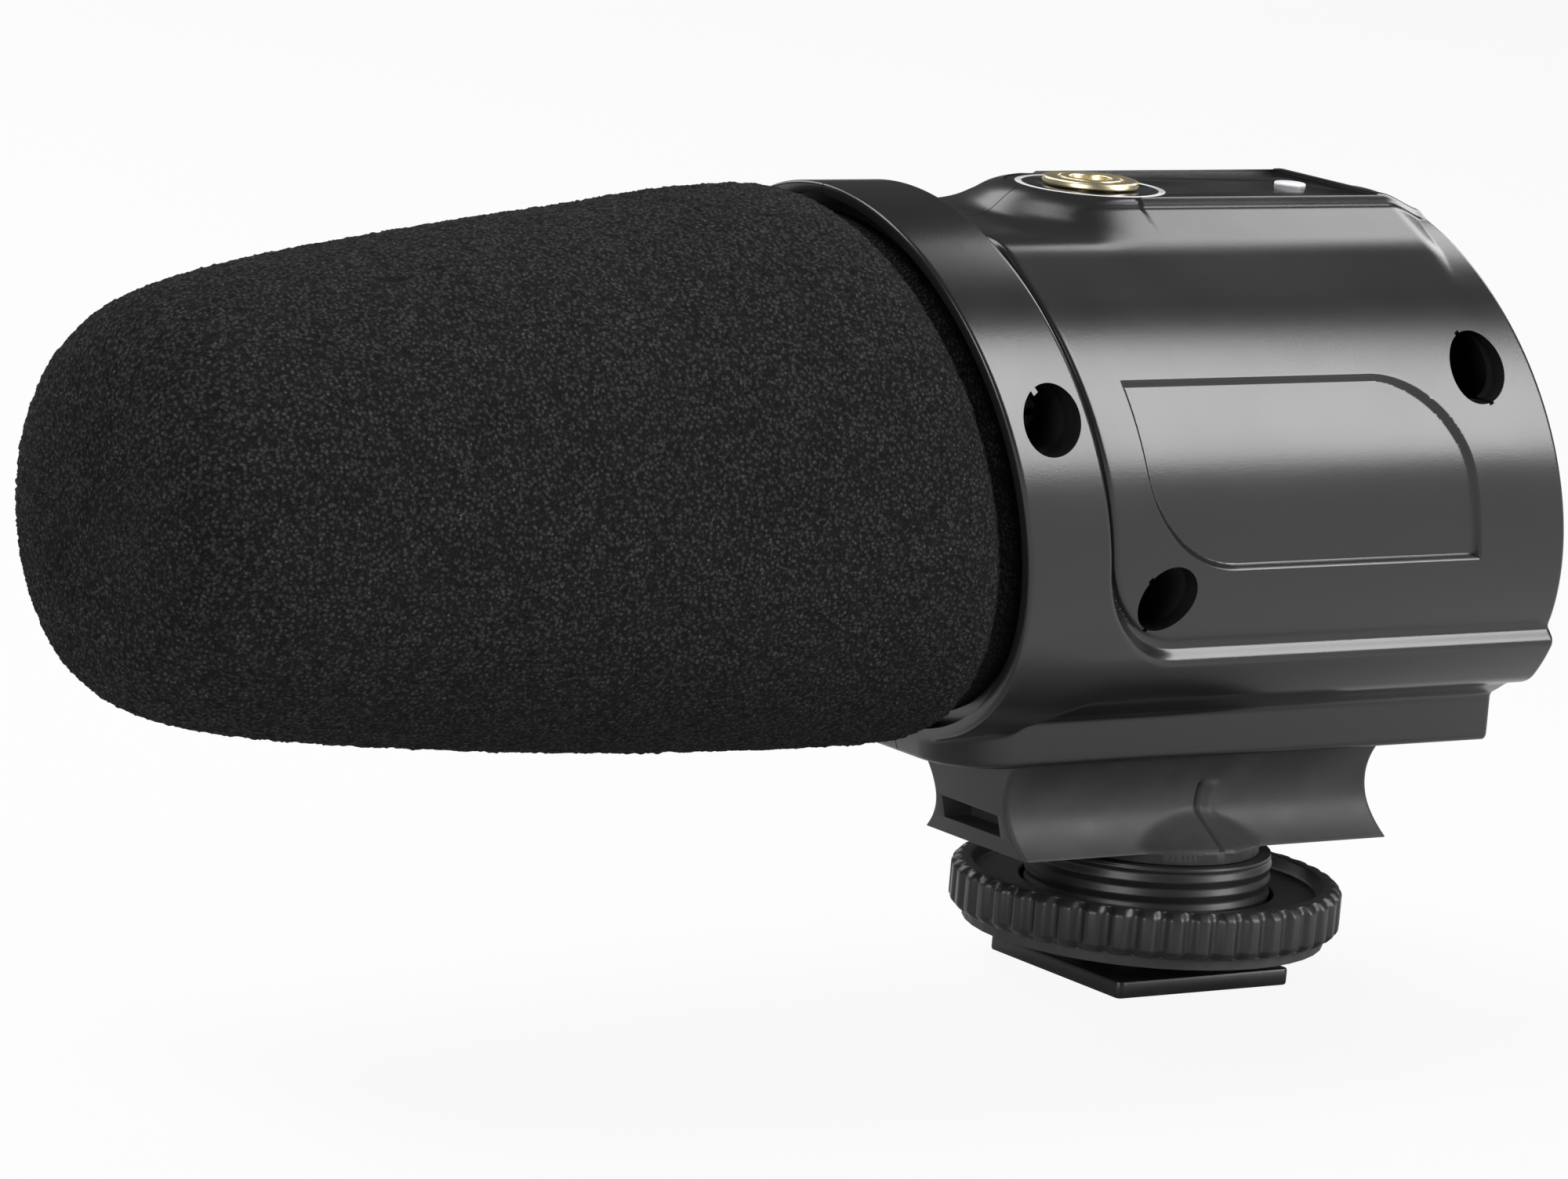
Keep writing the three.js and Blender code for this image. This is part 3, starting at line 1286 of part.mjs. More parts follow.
// Rows of slots along the tube let sound in from the sides.
function slottedTube() {
  const inner = TUBE_RADIUS - TUBE_WALL;
  const tube = turnedAboutBarrel(
    ringProfile(inner, TUBE_RADIUS, TUBE_FRONT_Y, TUBE_REAR_Y),
    MEDIUM_ROUND,
  );
  const slots = [];
  for (let row = 0; row < SLOT_ROWS; row += 1) {
    for (let index = 0; index < SLOTS_PER_ROW; index += 1) {
      const y = FIRST_SLOT_Y + index * SLOT_PITCH;
      const half = SLOT_LENGTH / 2;
      slots.push(
        block([-SLOT_WIDTH / 2, y - half, inner - OVERRUN], [SLOT_WIDTH / 2, y + half, TUBE_RADIUS + OVERRUN])
          .rotateY(((row + 1 / 2) * TURN) / SLOT_ROWS)
          .translate(0, 0, AXIS_HEIGHT),
      );
    }
  }
  return cut(tube, ...slots);
}

function frontGrille() {
  const front = TUBE_FRONT_Y + GRILLE_INSET;
  const rear = front + GRILLE_THICKNESS;
  const disc = turnedAboutBarrel(rod(TUBE_RADIUS - TUBE_WALL - FIT, front, rear), MEDIUM_ROUND);
  const hole = (angle, reach) =>
    turnedAboutBarrel(rod(GRILLE_HOLE_RADIUS, front - OVERRUN, rear + OVERRUN), SMALL_ROUND / 2)
      .translate(reach * Math.cos(angle), 0, reach * Math.sin(angle));
  const holes = [hole(0, 0)];
  for (let ring = 1; ring <= GRILLE_RINGS; ring += 1) {
    const count = ring * HOLES_PER_RING;
    for (let index = 0; index < count; index += 1) {
      holes.push(hole((index * TURN) / count, ring * GRILLE_HOLE_PITCH));
    }
  }
  return cut(disc, ...holes);
}

function capsule() {
  const rear = CAPSULE_FRONT_Y + CAPSULE_LENGTH;
  return turnedAboutBarrel(
    [
      [0, CAPSULE_FRONT_Y + CAPSULE_FACE_DEPTH],
      [CAPSULE_FACE_RADIUS, CAPSULE_FRONT_Y + CAPSULE_FACE_DEPTH],
      [CAPSULE_FACE_RADIUS, CAPSULE_FRONT_Y],
      [CAPSULE_RADIUS, CAPSULE_FRONT_Y],
      [CAPSULE_RADIUS, rear],
      [0, rear],
    ],
    MEDIUM_ROUND,
  );
}

// A soft collar about the capsule, with a groove between its two edges.
function capsuleHolder() {
  const front = CAPSULE_FRONT_Y + (CAPSULE_LENGTH - HOLDER_LENGTH) / 2;
  const rear = front + HOLDER_LENGTH;
  const inner = CAPSULE_RADIUS + SEAT;
  const outer = TUBE_RADIUS - TUBE_WALL - FIT;
  const edge = HOLDER_LENGTH / 4;
  return turnedAboutBarrel(
    [
      [inner, front],
      [outer, front],
      [outer, front + edge],
      [outer - HOLDER_GROOVE, front + edge],
      [outer - HOLDER_GROOVE, rear - edge],
      [outer, rear - edge],
      [outer, rear],
      [inner, rear],
      [inner, front],
    ],
    MEDIUM_ROUND,
  );
}

// The foam: a blunt nose, a long cone, a rounded shoulder and a neck that enters the lip.
// Towards the rear it leans with the rim, and in front it is square to its axis.
// Its outside sags a little towards the nose, while its bore stays on the tube's axis.
function foamWindscreen() {
  const shoulderY = RIM_Y - FOAM_REAR_GAP;
  const shoulderRadius = FOAM_REAR_RADIUS - FOAM_SHOULDER_DROP;
  const neckRadius = LIP_RADIUS - FOAM_NECK_GAP;
  const neckY = RIM_Y + LIP_DEPTH - RUN;
  const boreRadius = TUBE_RADIUS + RUN;
  const boreFrontY = TUBE_FRONT_Y - FOAM_END_SLACK;
  const noseLength = FOAM_CONE_FRONT_Y - FOAM_FRONT_Y;
  const shape = 2 / FOAM_NOSE_POWER;
  const coneSlope = (FOAM_MIDDLE_RADIUS - FOAM_FRONT_RADIUS) / (FOAM_STRAIGHT_Y - FOAM_CONE_FRONT_Y);
  const points = [];
  for (let index = 0; index <= NOSE_STEPS; index += 1) {
    const angle = QUARTER * (1 - index / NOSE_STEPS);
    const radius = FOAM_FRONT_RADIUS * Math.cos(angle) ** shape;
    const reach = noseLength * Math.sin(angle) ** shape;
    const taper = coneSlope * reach * (radius / FOAM_FRONT_RADIUS);
    points.push([index === 0 ? 0 : radius - taper, FOAM_CONE_FRONT_Y - reach]);
  }
  const shoulderCurve = new THREE.QuadraticBezierCurve(
    new THREE.Vector2(FOAM_REAR_RADIUS, shoulderY - FOAM_SHOULDER_LENGTH),
    new THREE.Vector2(FOAM_REAR_RADIUS, shoulderY),
    new THREE.Vector2(shoulderRadius, shoulderY),
  );
  points.push([FOAM_MIDDLE_RADIUS, FOAM_STRAIGHT_Y]);
  points.push([FOAM_BEND_RADIUS, FOAM_BEND_Y]);
  for (const point of shoulderCurve.getPoints(ARC_STEPS)) points.push([point.x, point.y]);
  points.push([neckRadius, shoulderY]);
  points.push([neckRadius, neckY]);
  points.push([boreRadius, neckY]);
  points.push([boreRadius, boreFrontY]);
  points.push([0, boreFrontY]);
  const foam = turnedAboutBarrel(points, LARGE_ROUND);
  const place = foam.getAttribute("position");
  for (let index = 0; index < place.count; index += 1) {
    const y = place.getY(index);
    const rise = place.getZ(index) - AXIS_HEIGHT;
    const share = THREE.MathUtils.smoothstep(y, FOAM_STRAIGHT_Y, shoulderY - FOAM_SHOULDER_LENGTH);
    const outside = Math.hypot(place.getX(index), rise) > boreRadius + RUN || y < boreFrontY - RUN;
    const sag = outside ? Math.max(0, FOAM_SAG_Y - y) * FOAM_SAG_SLOPE : 0;
    place.setY(index, y - share * RAKE_SHARE * rise);
    place.setZ(index, AXIS_HEIGHT + rise - sag);
  }
  return foam;
}

// The whole microphone

const shell = cut(housingShell(), ...baseScrewTools());
const microphone = new THREE.Group();

microphone.add(
  piece("foam_windscreen", foamWindscreen(), "foam"),
  piece("slotted_tube", slottedTube(), "tube"),
  piece("front_grille", frontGrille(), "tube"),
  piece("capsule", capsule(), "brassFoil"),
  piece("capsule_holder", capsuleHolder(), "rubber"),
  piece("tube_socket", tubeSocket(), "tray"),
  piece("housing_left", housingLeft(shell), "housing"),
  piece("housing_right", housingRight(shell), "housing"),
  ...caseScrews(),
  piece("control_plate", controlPlate(), "plate"),
  piece("output_jack", outputJack(), "gold"),
  piece("jack_nut", jackNut(), "gold"),
  piece("lamp_lens", lampLens(), "lamp"),
  piece("circuit_board", circuitBoard(), "board"),
  piece("battery", battery(), "cell"),
  piece("battery_contact_front", batteryContact(CONTACT_FRONT_Y, 1), "steel"),
  piece("battery_contact_rear", batteryContact(CONTACT_REAR_Y, -1), "steel"),
  piece("battery_tray", batteryTray(), "tray"),
  piece("battery_cover", batteryCover(), "housing"),
  rearControls(),
  piece("rubber_block", rubberBlock(), "rubber"),
  ...blockScrews(),
  piece("threaded_neck", threadedNeck(), "ring"),
  piece("neck_nut", neckNut(), "steel"),
  piece("lock_ring", lockRing(), "ring"),
  piece("grip_washer", gripWasher(), "rubber"),
  piece("shoe_foot", shoeFoot(), "foot"),
);

export default microphone;
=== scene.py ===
# %% [markdown]
# # An on camera microphone
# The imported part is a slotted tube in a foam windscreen, a raked barrel housing, a waisted
# rubber block and a shoe foot with a ridged lock ring. This lesson loads it as a fixed frame
# and then dresses it, piece by piece, with finer meshes and procedural finishes.

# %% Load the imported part
import math

import bmesh
import bpy
import numpy as np
from mathutils import Matrix, Vector


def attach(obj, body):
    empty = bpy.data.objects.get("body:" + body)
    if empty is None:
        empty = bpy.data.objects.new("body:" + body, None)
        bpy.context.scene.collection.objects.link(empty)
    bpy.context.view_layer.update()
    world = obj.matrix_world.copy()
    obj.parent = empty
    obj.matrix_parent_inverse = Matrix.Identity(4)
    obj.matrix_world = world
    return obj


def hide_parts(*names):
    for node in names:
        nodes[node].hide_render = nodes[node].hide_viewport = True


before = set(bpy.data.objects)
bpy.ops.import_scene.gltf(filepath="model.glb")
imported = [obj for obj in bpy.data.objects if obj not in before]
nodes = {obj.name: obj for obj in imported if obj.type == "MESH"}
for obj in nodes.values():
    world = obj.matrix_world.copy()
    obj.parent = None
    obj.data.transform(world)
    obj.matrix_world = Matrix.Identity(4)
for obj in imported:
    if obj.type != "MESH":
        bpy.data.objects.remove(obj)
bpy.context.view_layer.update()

print("nodes:", len(nodes))

# %% [markdown]
# ## Measures
# The microphone's lengths are in millimetres, as on a maker's drawing, and become metres only
# when a mesh is made. The lamps and the floor's shade are in metres. The barrel's ends, its
# step and its side recess lean forward with height. They are drawn square first and then
# leaned together, which keeps their edges in line.

# %% The barrel's main sizes
MM = 0.001
AXIS = 45.2  # height of the barrel's axis above the foot's underside
RAKE = 0.262  # how far the barrel leans forward for each millimetre of height
RIM, STEP, REAR = -34.3, -25.8, 23.0  # along the axis
COLLAR, SIDE = 23.3, 22.55  # radii
LEDGE = -12.6  # height from the axis


def lean(points):
    """Moves points of a square drawing to where the raked barrel has them."""
    leaned = np.array(points, float)
    leaned[:, 1] -= RAKE * (leaned[:, 2] - AXIS)
    return leaned


# %% [markdown]
# ## Mesh makers
# Three forms make up almost all of the microphone: a closed skin over a grid of points, a
# turned form about an axis, and an outline drawn out to a thickness. A grid is quickest to
# fill as plain arrays, so the meshes are written straight from NumPy.


# %% Meshes from arrays
def into_scene(item):
    bpy.context.scene.collection.objects.link(item)
    return item


def make_object(name, points, faces):
    """A mesh object from points in millimetres and arrays of the corners of faces."""
    mesh = bpy.data.meshes.new(name)
    loops = np.concatenate([np.asarray(face, np.int32).ravel() for face in faces])
    sizes = np.concatenate([np.full(len(face), len(face[0]), np.int32) for face in faces])
    starts = np.concatenate([[0], np.cumsum(sizes)[:-1]]).astype(np.int32)
    mesh.vertices.add(len(points))
    mesh.vertices.foreach_set("co", (np.asarray(points, float) * MM).astype(np.float32).ravel())
    mesh.loops.add(len(loops))
    mesh.loops.foreach_set("vertex_index", loops)
    mesh.polygons.add(len(sizes))
    mesh.polygons.foreach_set("loop_start", starts)
    mesh.update(calc_edges=True)
    mesh.validate()
    return into_scene(bpy.data.objects.new(name, mesh))


def grid_faces(rows, columns, closed_rows=False):
    """Quads between rows of points that each run once around."""
    row = np.arange(rows if closed_rows else rows - 1)[:, None]
    column = np.arange(columns)[None, :]
    after = (column + 1) % columns
    above = (row + 1) % rows
    here, next_row = row * columns, above * columns
    corners = [here + column, here + after, next_row + after, next_row + column]
    return np.stack([np.broadcast_to(c, (len(row), columns)).ravel() for c in corners], 1)


def skin(name, rings, first_pole=None, last_pole=None, closed=False):
    """A closed skin over rings of points. Poles close its two ends."""
    rings = np.asarray(rings, float)
    rows, columns = rings.shape[:2]
    points = rings.reshape(-1, 3)
    faces = [grid_faces(rows, columns, closed)]
    column = np.arange(columns)
    after = (column + 1) % columns
    if first_pole is not None:
        faces.append(np.stack([np.full(columns, len(points)), after, column], 1))
        points = np.vstack([points, first_pole])
    if last_pole is not None:
        base = (rows - 1) * columns
        faces.append(np.stack([np.full(columns, len(points)), base + column, base + after], 1))
        points = np.vstack([points, last_pole])
    return make_object(name, points, faces)


def facing_out(item):
    """Turns all faces outward."""
    shape = bmesh.new()
    shape.from_mesh(item.data)
    bmesh.ops.recalc_face_normals(shape, faces=shape.faces)
    shape.to_mesh(item.data)
    shape.free()
    return item


def smooth(item, degrees):
    """Shades the skin smooth, except across edges that are sharper than this."""
    item.data.polygons.foreach_set("use_smooth", np.ones(len(item.data.polygons), bool))
    item.data.set_sharp_from_angle(angle=math.radians(degrees))
    return item


def tell(item):
    print(item.name, "faces:", len(item.data.polygons))


# %% [markdown]
# ## Turned forms and drawn out outlines
# A lathe profile is a list of corners. Real edges are never knife sharp, so each corner is
# first replaced by a short arc, and the light then finds an edge to catch.


# %% Rounded profiles, lathe and prism
def rounded(corners, radius, steps=3, closed=False):
    """The same path with an arc of about this radius at each corner."""
    corners = [np.array(corner, float) for corner in corners]
    count = len(corners)
    path = []
    for index, corner in enumerate(corners):
        if not closed and index in (0, count - 1):
            path.append(corner)
            continue
        before, after = corners[index - 1] - corner, corners[(index + 1) % count] - corner
        reach = min(radius, 0.45 * np.linalg.norm(before), 0.45 * np.linalg.norm(after))
        start = corner + before / np.linalg.norm(before) * reach
        end = corner + after / np.linalg.norm(after) * reach
        for share in np.linspace(0, 1, steps + 1):
            path.append((1 - share) ** 2 * start + 2 * share * (1 - share) * corner + share**2 * end)
    return np.array(path)


def around(sides):
    """The angles of one turn, in even steps."""
    return np.linspace(0, 2 * math.pi, sides, endpoint=False)


def circle(radius, z, angle):
    """A ring of points at one height. The radius may change around it."""
    return np.stack([radius * np.cos(angle), radius * np.sin(angle), np.full(len(angle), z)], 1)


def arc(centre, radius, start, end, steps):
    angles = np.radians(np.linspace(start, end, steps + 1))
    return [[centre[0] + radius * math.cos(a), centre[1] + radius * math.sin(a)] for a in angles]


def lathe(name, profile, sides, place=(0, 0, 0), along="z"):
    """Turns a path of radius and height about an upright axis, or about one along y."""
    angle = around(sides)
    closed = np.allclose(profile[0], profile[-1])
    path = profile[:-1] if closed else profile
    path = np.array([p for p in path if closed or p[0] > 1e-6])
    radius, height = path[:, 0][:, None], path[:, 1][:, None]
    across, upward = radius * np.cos(angle), radius * np.sin(angle)
    order = [0, 2, 1] if along == "y" else [0, 1, 2]
    rings = np.stack([across, upward, np.broadcast_to(height, across.shape)], 2)[..., order]
    poles = [
        None if closed or radius > 1e-6 else np.array([0, 0, height], float)[order] + place
        for radius, height in (profile[0], profile[-1])
    ]
    return facing_out(skin(name, rings + np.array(place, float), *poles, closed=closed))


def prism(name, outline, low, high):
    """Draws an outline in x and y out from low to high."""
    count = len(outline)
    points = [[x, y, z] for z in (low, high) for x, y in outline]
    index = np.arange(count)
    sides = np.stack([index, (index + 1) % count, (index + 1) % count + count, index + count], 1)
    return facing_out(make_object(name, points, [sides, index[None, ::-1], index[None, :] + count]))


# %% [markdown]
# ## Cutters and edges
# A mould's pins and a drill leave plain holes, and plain solids cut them best. Bevels on the
# sharp edges come after the cuts, so that the edges of the holes are softened too.


# %% Cutters, bevels and finishes
def settle(item):
    """Applies the modifiers, so that the mesh is what is seen."""
    graph = bpy.context.evaluated_depsgraph_get()
    mesh = bpy.data.meshes.new_from_object(item.evaluated_get(graph))
    item.modifiers.clear()
    item.data = mesh
    return item


def soften(item, edge, degrees):
    """Bevels the edges that are sharper than this angle."""
    bevel = item.modifiers.new("soft edges", "BEVEL")
    bevel.width = edge * MM
    bevel.segments = 2
    bevel.limit_method = "ANGLE"
    bevel.angle_limit = math.radians(degrees)
    return settle(item)


def combine(item, tool, operation="DIFFERENCE"):
    """Cuts or joins with a solid tool, and then takes the tool away."""
    change = item.modifiers.new("cut", "BOOLEAN")
    change.operation = operation
    change.solver = "MANIFOLD"
    change.object = tool
    bpy.context.view_layer.update()
    settle(item)
    bpy.data.objects.remove(tool)
    return item


def box(name, low, high):
    (x0, y0, z0), (x1, y1, z1) = low, high
    return prism(name, [[x0, y0], [x1, y0], [x1, y1], [x0, y1]], z0, z1)


def peg(name, radius, low, high, sides, place=(0, 0, 0), along="z"):
    return lathe(name, [[0, low], [radius, low], [radius, high], [0, high]], sides, place, along)


def turn_and_move(item, angle, axis, spot):
    """Turns a mesh about one of the axes, and then moves it."""
    item.data.transform(Matrix.Rotation(angle, 4, axis))
    item.data.transform(Matrix.Translation([part * MM for part in spot]))
    return item


def rod(name, radius, low, high, y, z, sides=96):
    """A round bar that runs along x."""
    return turn_and_move(peg(name, radius, low, high, sides), math.pi / 2, "Y", (0, y, z))


def dress(item, finish):
    """Gives the whole piece one finish."""
    item.data.materials.clear()
    item.data.materials.append(finish)
    item.data.polygons.foreach_set("material_index", np.zeros(len(item.data.polygons), np.int32))


# %% [markdown]
# ## Shader sums
# A finish is mostly arithmetic on masks. The first class below wraps a socket of a node, so
# that a mask can be added, multiplied or taken from 1 as a number can, and each step adds its
# node.


# %% Finishes as sums
class Field:
    """One output of a node, which takes part in sums."""

    def __init__(self, finish, socket):
        self.finish, self.socket = finish, socket

    def __add__(self, other):
        return self.finish.maths("ADD", self, other)

    def __radd__(self, other):
        return self.finish.maths("ADD", other, self)

    def __sub__(self, other):
        return self.finish.maths("SUBTRACT", self, other)

    def __rsub__(self, other):
        return self.finish.maths("SUBTRACT", other, self)

    def __mul__(self, other):
        return self.finish.maths("MULTIPLY", self, other)

    def __rmul__(self, other):
        return self.finish.maths("MULTIPLY", other, self)


class Finish:
    """A material whose nodes are all made by one method."""

    def __init__(self, name):
        self.material = bpy.data.materials.new(name)
        self.material.use_nodes = True
        self.tree = self.material.node_tree
        self.tree.nodes.clear()

    def node(self, kind, settings=None, **sockets):
        """Adds a node. Its sockets go by name, with _ for a space, or by number, as _0."""
        made = self.tree.nodes.new("ShaderNode" + kind)
        for key, value in (settings or {}).items():
            setattr(made, key, value)
        for key, value in sockets.items():
            socket = made.inputs[int(key[1:]) if key[1:].isdigit() else key.replace("_", " ")]
            if isinstance(value, Field):
                self.tree.links.new(value.socket, socket)
            else:
                socket.default_value = value
        return made

    def field(self, kind, output, settings=None, **sockets):
        return Field(self, self.node(kind, settings, **sockets).outputs[output])

    def maths(self, operation, *terms):
        numbered = {f"_{index}": term for index, term in enumerate(terms)}
        return self.field("Math", 0, {"operation": operation}, **numbered)

    def place(self):
        """Where a point of the surface is on the object, in metres."""
        return self.field("TexCoord", "Object")

    def axes(self):
        """The same place as three numbers."""
        parts = self.node("SeparateXYZ", None, Vector=self.place())
        return [Field(self, part) for part in parts.outputs]

    def noise(self, scale, detail=2.0, rough=0.5):
        return self.field("TexNoise", 0, Vector=self.place(), Scale=scale, Detail=detail, Roughness=rough)

    def range(self, field, low, high, to_low=0.0, to_high=1.0, kind="SMOOTHSTEP"):
        return self.field(
            "MapRange", 0, {"interpolation_type": kind},
            _0=field, _1=low, _2=high, _3=to_low, _4=to_high,
        )

    def blend(self, share, first, second):
        return self.field("Mix", 2, {"data_type": "RGBA"}, _0=share, _6=first, _7=second)

    def bump(self, height, distance, strength):
        return self.field("Bump", 0, Height=height, Distance=distance * MM, Strength=strength)

    def shown(self, shader):
        """Links a shader to the output, which completes the material."""
        self.tree.links.new(shader.outputs[0], self.node("OutputMaterial").inputs[0])
        return self.material

    def surface(self, **sockets):
        return self.shown(self.node("BsdfPrincipled", None, **sockets))


def grey(level):
    """A neutral colour that is a little cool."""
    return (level, level, level * 1.03, 1.0)


# %% [markdown]
# ## The camera
# The view was found by fitting a camera to the corners of the foot, the ring and the rims of
# the barrel. It stands a little above the microphone, off the front of its right side, and it
# is rolled by a few degrees.

# %% Camera
AZIMUTH, ELEVATION, ROLL = math.radians(54.388), math.radians(10.4626), math.radians(4.819)
IMAGE_WIDTH, SENSOR = 2000, 36.0
FOCAL_PIXELS = 9595.9
ASIDE, ABOVE, DISTANCE = -30.5008, 32.5107, 648.32

back = Vector((
    math.sin(AZIMUTH) * math.cos(ELEVATION),
    -math.cos(AZIMUTH) * math.cos(ELEVATION),
    math.sin(ELEVATION),
))
level_right = Vector((math.cos(AZIMUTH), math.sin(AZIMUTH), 0))
level_up = back.cross(level_right)
right = math.cos(ROLL) * level_right + math.sin(ROLL) * level_up
upward = math.cos(ROLL) * level_up - math.sin(ROLL) * level_right
camera = into_scene(bpy.data.objects.new("camera", bpy.data.cameras.new("camera")))
stand = (ASIDE * right + ABOVE * upward + DISTANCE * back) * MM
turn = Matrix((right, upward, back)).transposed().to_4x4()
camera.matrix_world = Matrix.Translation(stand) @ turn
camera.data.sensor_width = SENSOR
camera.data.lens = FOCAL_PIXELS / IMAGE_WIDTH * SENSOR
camera.data.clip_end = 20
bpy.context.scene.camera = camera
print("camera stands at", [round(v, 3) for v in stand])

# %% [markdown]
# ## Soft light
# Satin plastic shows its form by what it mirrors, so the lamps are soft panels whose mirror
# images draw the form. A tall one behind the right side draws the broad band along the barrel,
# and a short strip close above the rear draws the band beside the top plate. Two more light
# the foam and the front, and a weaker one shows the far side.


# %% Soft panels
PANEL_AIM = Vector((0, -0.02, 0.045))


def soft_panel(name, direction, distance, width, height, strength):
    """A panel that faces the microphone. Its sizes are in metres."""
    lamp = bpy.data.lights.new(name, "AREA")
    lamp.shape = "RECTANGLE"
    lamp.size, lamp.size_y = width, height
    lamp.energy = strength * math.pi * width * height
    item = into_scene(bpy.data.objects.new(name, lamp))
    toward = Vector(direction).normalized()
    item.location = PANEL_AIM + toward * distance
    item.rotation_euler = toward.to_track_quat("Z", "Y").to_euler()
    return item


side_panel = soft_panel("side panel", (0.69, 0.57, 0.445), 0.9, 0.40, 0.72, 10.2)
soft_panel("roof strip", (-0.17, 0.77, 0.616), 0.164, 0.045, 0.12, 4.6)
soft_panel("top panel", (-0.35, -0.35, 0.87), 0.9, 0.5, 0.5, 6.2)
soft_panel("front panel", (0.42, -0.85, 0.24), 1.1, 0.5, 0.5, 7.2)
soft_panel("far panel", (-0.85, -0.12, 0.5), 0.9, 0.5, 0.5, 3.2)

scene = bpy.context.scene
scene.view_settings.view_transform = "Standard"
scene.world = bpy.data.worlds.new("studio")
scene.world.use_nodes = True
ambient = scene.world.node_tree.nodes["Background"].inputs
ambient["Color"].default_value = (1, 1, 1, 1)
ambient["Strength"].default_value = 0.08
print("lamps:", len(bpy.data.lights))

# %% [markdown]
# ## The floor
# The floor is a pale sheet that keeps the object's shadow. Only what is seen, mirrored or seen
# through a clear piece is lifted to white, by a Mix Shader, so the object gets no extra light.
# A shiny underside would mirror that white from close beneath, where a real sheet lies in
# shade, so the mirrored lift fades out there, and the side panel doesn't light the sheet.

# %% Pale floor
FLOOR_HALF, FLOOR_DROP, FLOOR_LIFT = 4000, 0.2, 0.92
SHADE_MIDDLE, SHADE_REACH, SHADE_START, SHADE_END = -0.03, 0.06, 0.019, 0.031  # metres
SHADE_LEAST, SHADE_MOST = 0.08, 0.85

floor_finish = Finish("pale floor")
light_path = floor_finish.node("LightPath")
seen, mirrored, passed = (
    Field(floor_finish, light_path.outputs[f"Is {ray} Ray"])
    for ray in ("Camera", "Glossy", "Transmission")
)
floor_x, floor_y, _ = floor_finish.axes()
beside = floor_finish.maths("ABSOLUTE", floor_x)
beyond = floor_finish.maths("ABSOLUTE", floor_y - SHADE_MIDDLE) - SHADE_REACH
away = floor_finish.maths("MAXIMUM", beside, beyond)
away = floor_finish.range(away, SHADE_START, SHADE_END, SHADE_LEAST, SHADE_MOST)
floor_finish.shown(floor_finish.node(
    "MixShader", None,
    _0=(seen + (mirrored + passed) * away) * FLOOR_LIFT,
    _1=floor_finish.field("BsdfPrincipled", 0, Base_Color=grey(0.85), Roughness=0.9),
    _2=floor_finish.field("Emission", 0, Color=(1, 1, 1, 1), Strength=1.0),
))

floor_corners = [[x * FLOOR_HALF, y * FLOOR_HALF, 0] for x, y in ((-1, -1), (1, -1), (1, 1), (-1, 1))]
floor = make_object("floor", floor_corners, [np.array([[0, 1, 2, 3]])])
floor.location.z = -FLOOR_DROP * MM
floor.data.materials.append(floor_finish.material)
shaded = bpy.data.collections.new("in the side panel's shade")
shaded.objects.link(floor)
shaded.collection_objects[0].light_linking.link_state = "EXCLUDE"
side_panel.light_linking.receiver_collection = shaded
print("floor corners at", FLOOR_HALF * MM, "m")

# %% [markdown]
# ## Housing plastic
# The shell is moulded in a charcoal plastic with a fine spark eroded grain. The grain is far
# smaller than a millimetre, so it is a bump, and it breaks the mirrored light into a satin
# sheen. Slow changes in roughness keep the broad highlights from looking computed. Deep inside
# the shell and down the screw wells and slots the plastic is dull, as a moulding is where no
# tool was polished, and its colour is darkened there as painted shade.

# %% Charcoal plastic
INSIDE_RADIUS, INSIDE_HEIGHT, INSIDE_FADE = 20.6, 17.5, 1.0


def charcoal():
    finish = Finish("charcoal plastic")
    grain = finish.noise(5200, 2.0, 0.6)
    cloud = finish.noise(90, 3.0, 0.6)
    x, _, z = finish.axes()
    height = z - AXIS * MM
    reach = finish.maths("SQRT", x * x + height * height)
    start, end = INSIDE_HEIGHT * MM, (INSIDE_HEIGHT + INSIDE_FADE) * MM
    # painted shade: the colour darkens deep inside the shell, down the screw wells and the switch slots,
    # where the roughness also rises
    inside_shade_and_dull = finish.range(reach, INSIDE_RADIUS * MM, (INSIDE_RADIUS + INSIDE_FADE) * MM, 1.0, 0.0)
    inside_shade_and_dull = inside_shade_and_dull * finish.range(height, start, end, 1.0, 0.0) * finish.range(height, -end, -start)
    tone = finish.blend(cloud, grey(0.010), grey(0.013))
    tone = finish.blend(inside_shade_and_dull, tone, grey(0.004))
    rough = finish.range(cloud, 0.3, 0.7, 0.24, 0.265) + inside_shade_and_dull * 0.5
    return finish.surface(
        Base_Color=tone, Roughness=rough, Normal=finish.bump(grain, 0.012, 0.5), IOR=1.55,
    )


housing_finish = charcoal()
print("made", housing_finish.name)

# %% [markdown]
# ## The housing
# The moulding is a barrel with a proud collar, sunk sides, a ledge, a flat island on top and a
# base. All of that is one formula: the distance of a point from each plain form, joined by
# soft minimum and maximum, which also rounds the edges. Points are then placed on rays from
# the barrel's axis, by halving the interval until each lies on the surface.

# %% Soft joins of distances
SOFT_EDGE, SOFT_CREASE = 0.35, 0.5
FLANK_SOFT, CAP_SOFT, VALLEY_SOFT, NOSE_SOFT, UNDER_SOFT = 0.22, 0.3, 0.8, 1.1, 0.6


def soft_max(first, second, width):
    near = np.clip(1 - np.abs(first - second) / width, 0, None)
    return np.maximum(first, second) + near * near * width / 4


def soft_min(first, second, width):
    return -soft_max(-first, -second, width)


def corner_distance(u, v, radius):
    """Distance inside a corner at 0, 0 that is rounded to this radius. Inside is above 0."""
    inner_u, inner_v = radius - u, radius - v
    rounded_part = radius - np.hypot(np.clip(inner_u, 0, None), np.clip(inner_v, 0, None))
    return np.where((inner_u > 0) & (inner_v > 0), rounded_part, np.minimum(u, v))


def ease(value, low, high):
    """Rises smoothly from 0 at low to 1 at high."""
    share = np.clip((value - low) / (high - low), 0, 1)
    return share * share * (3 - 2 * share)


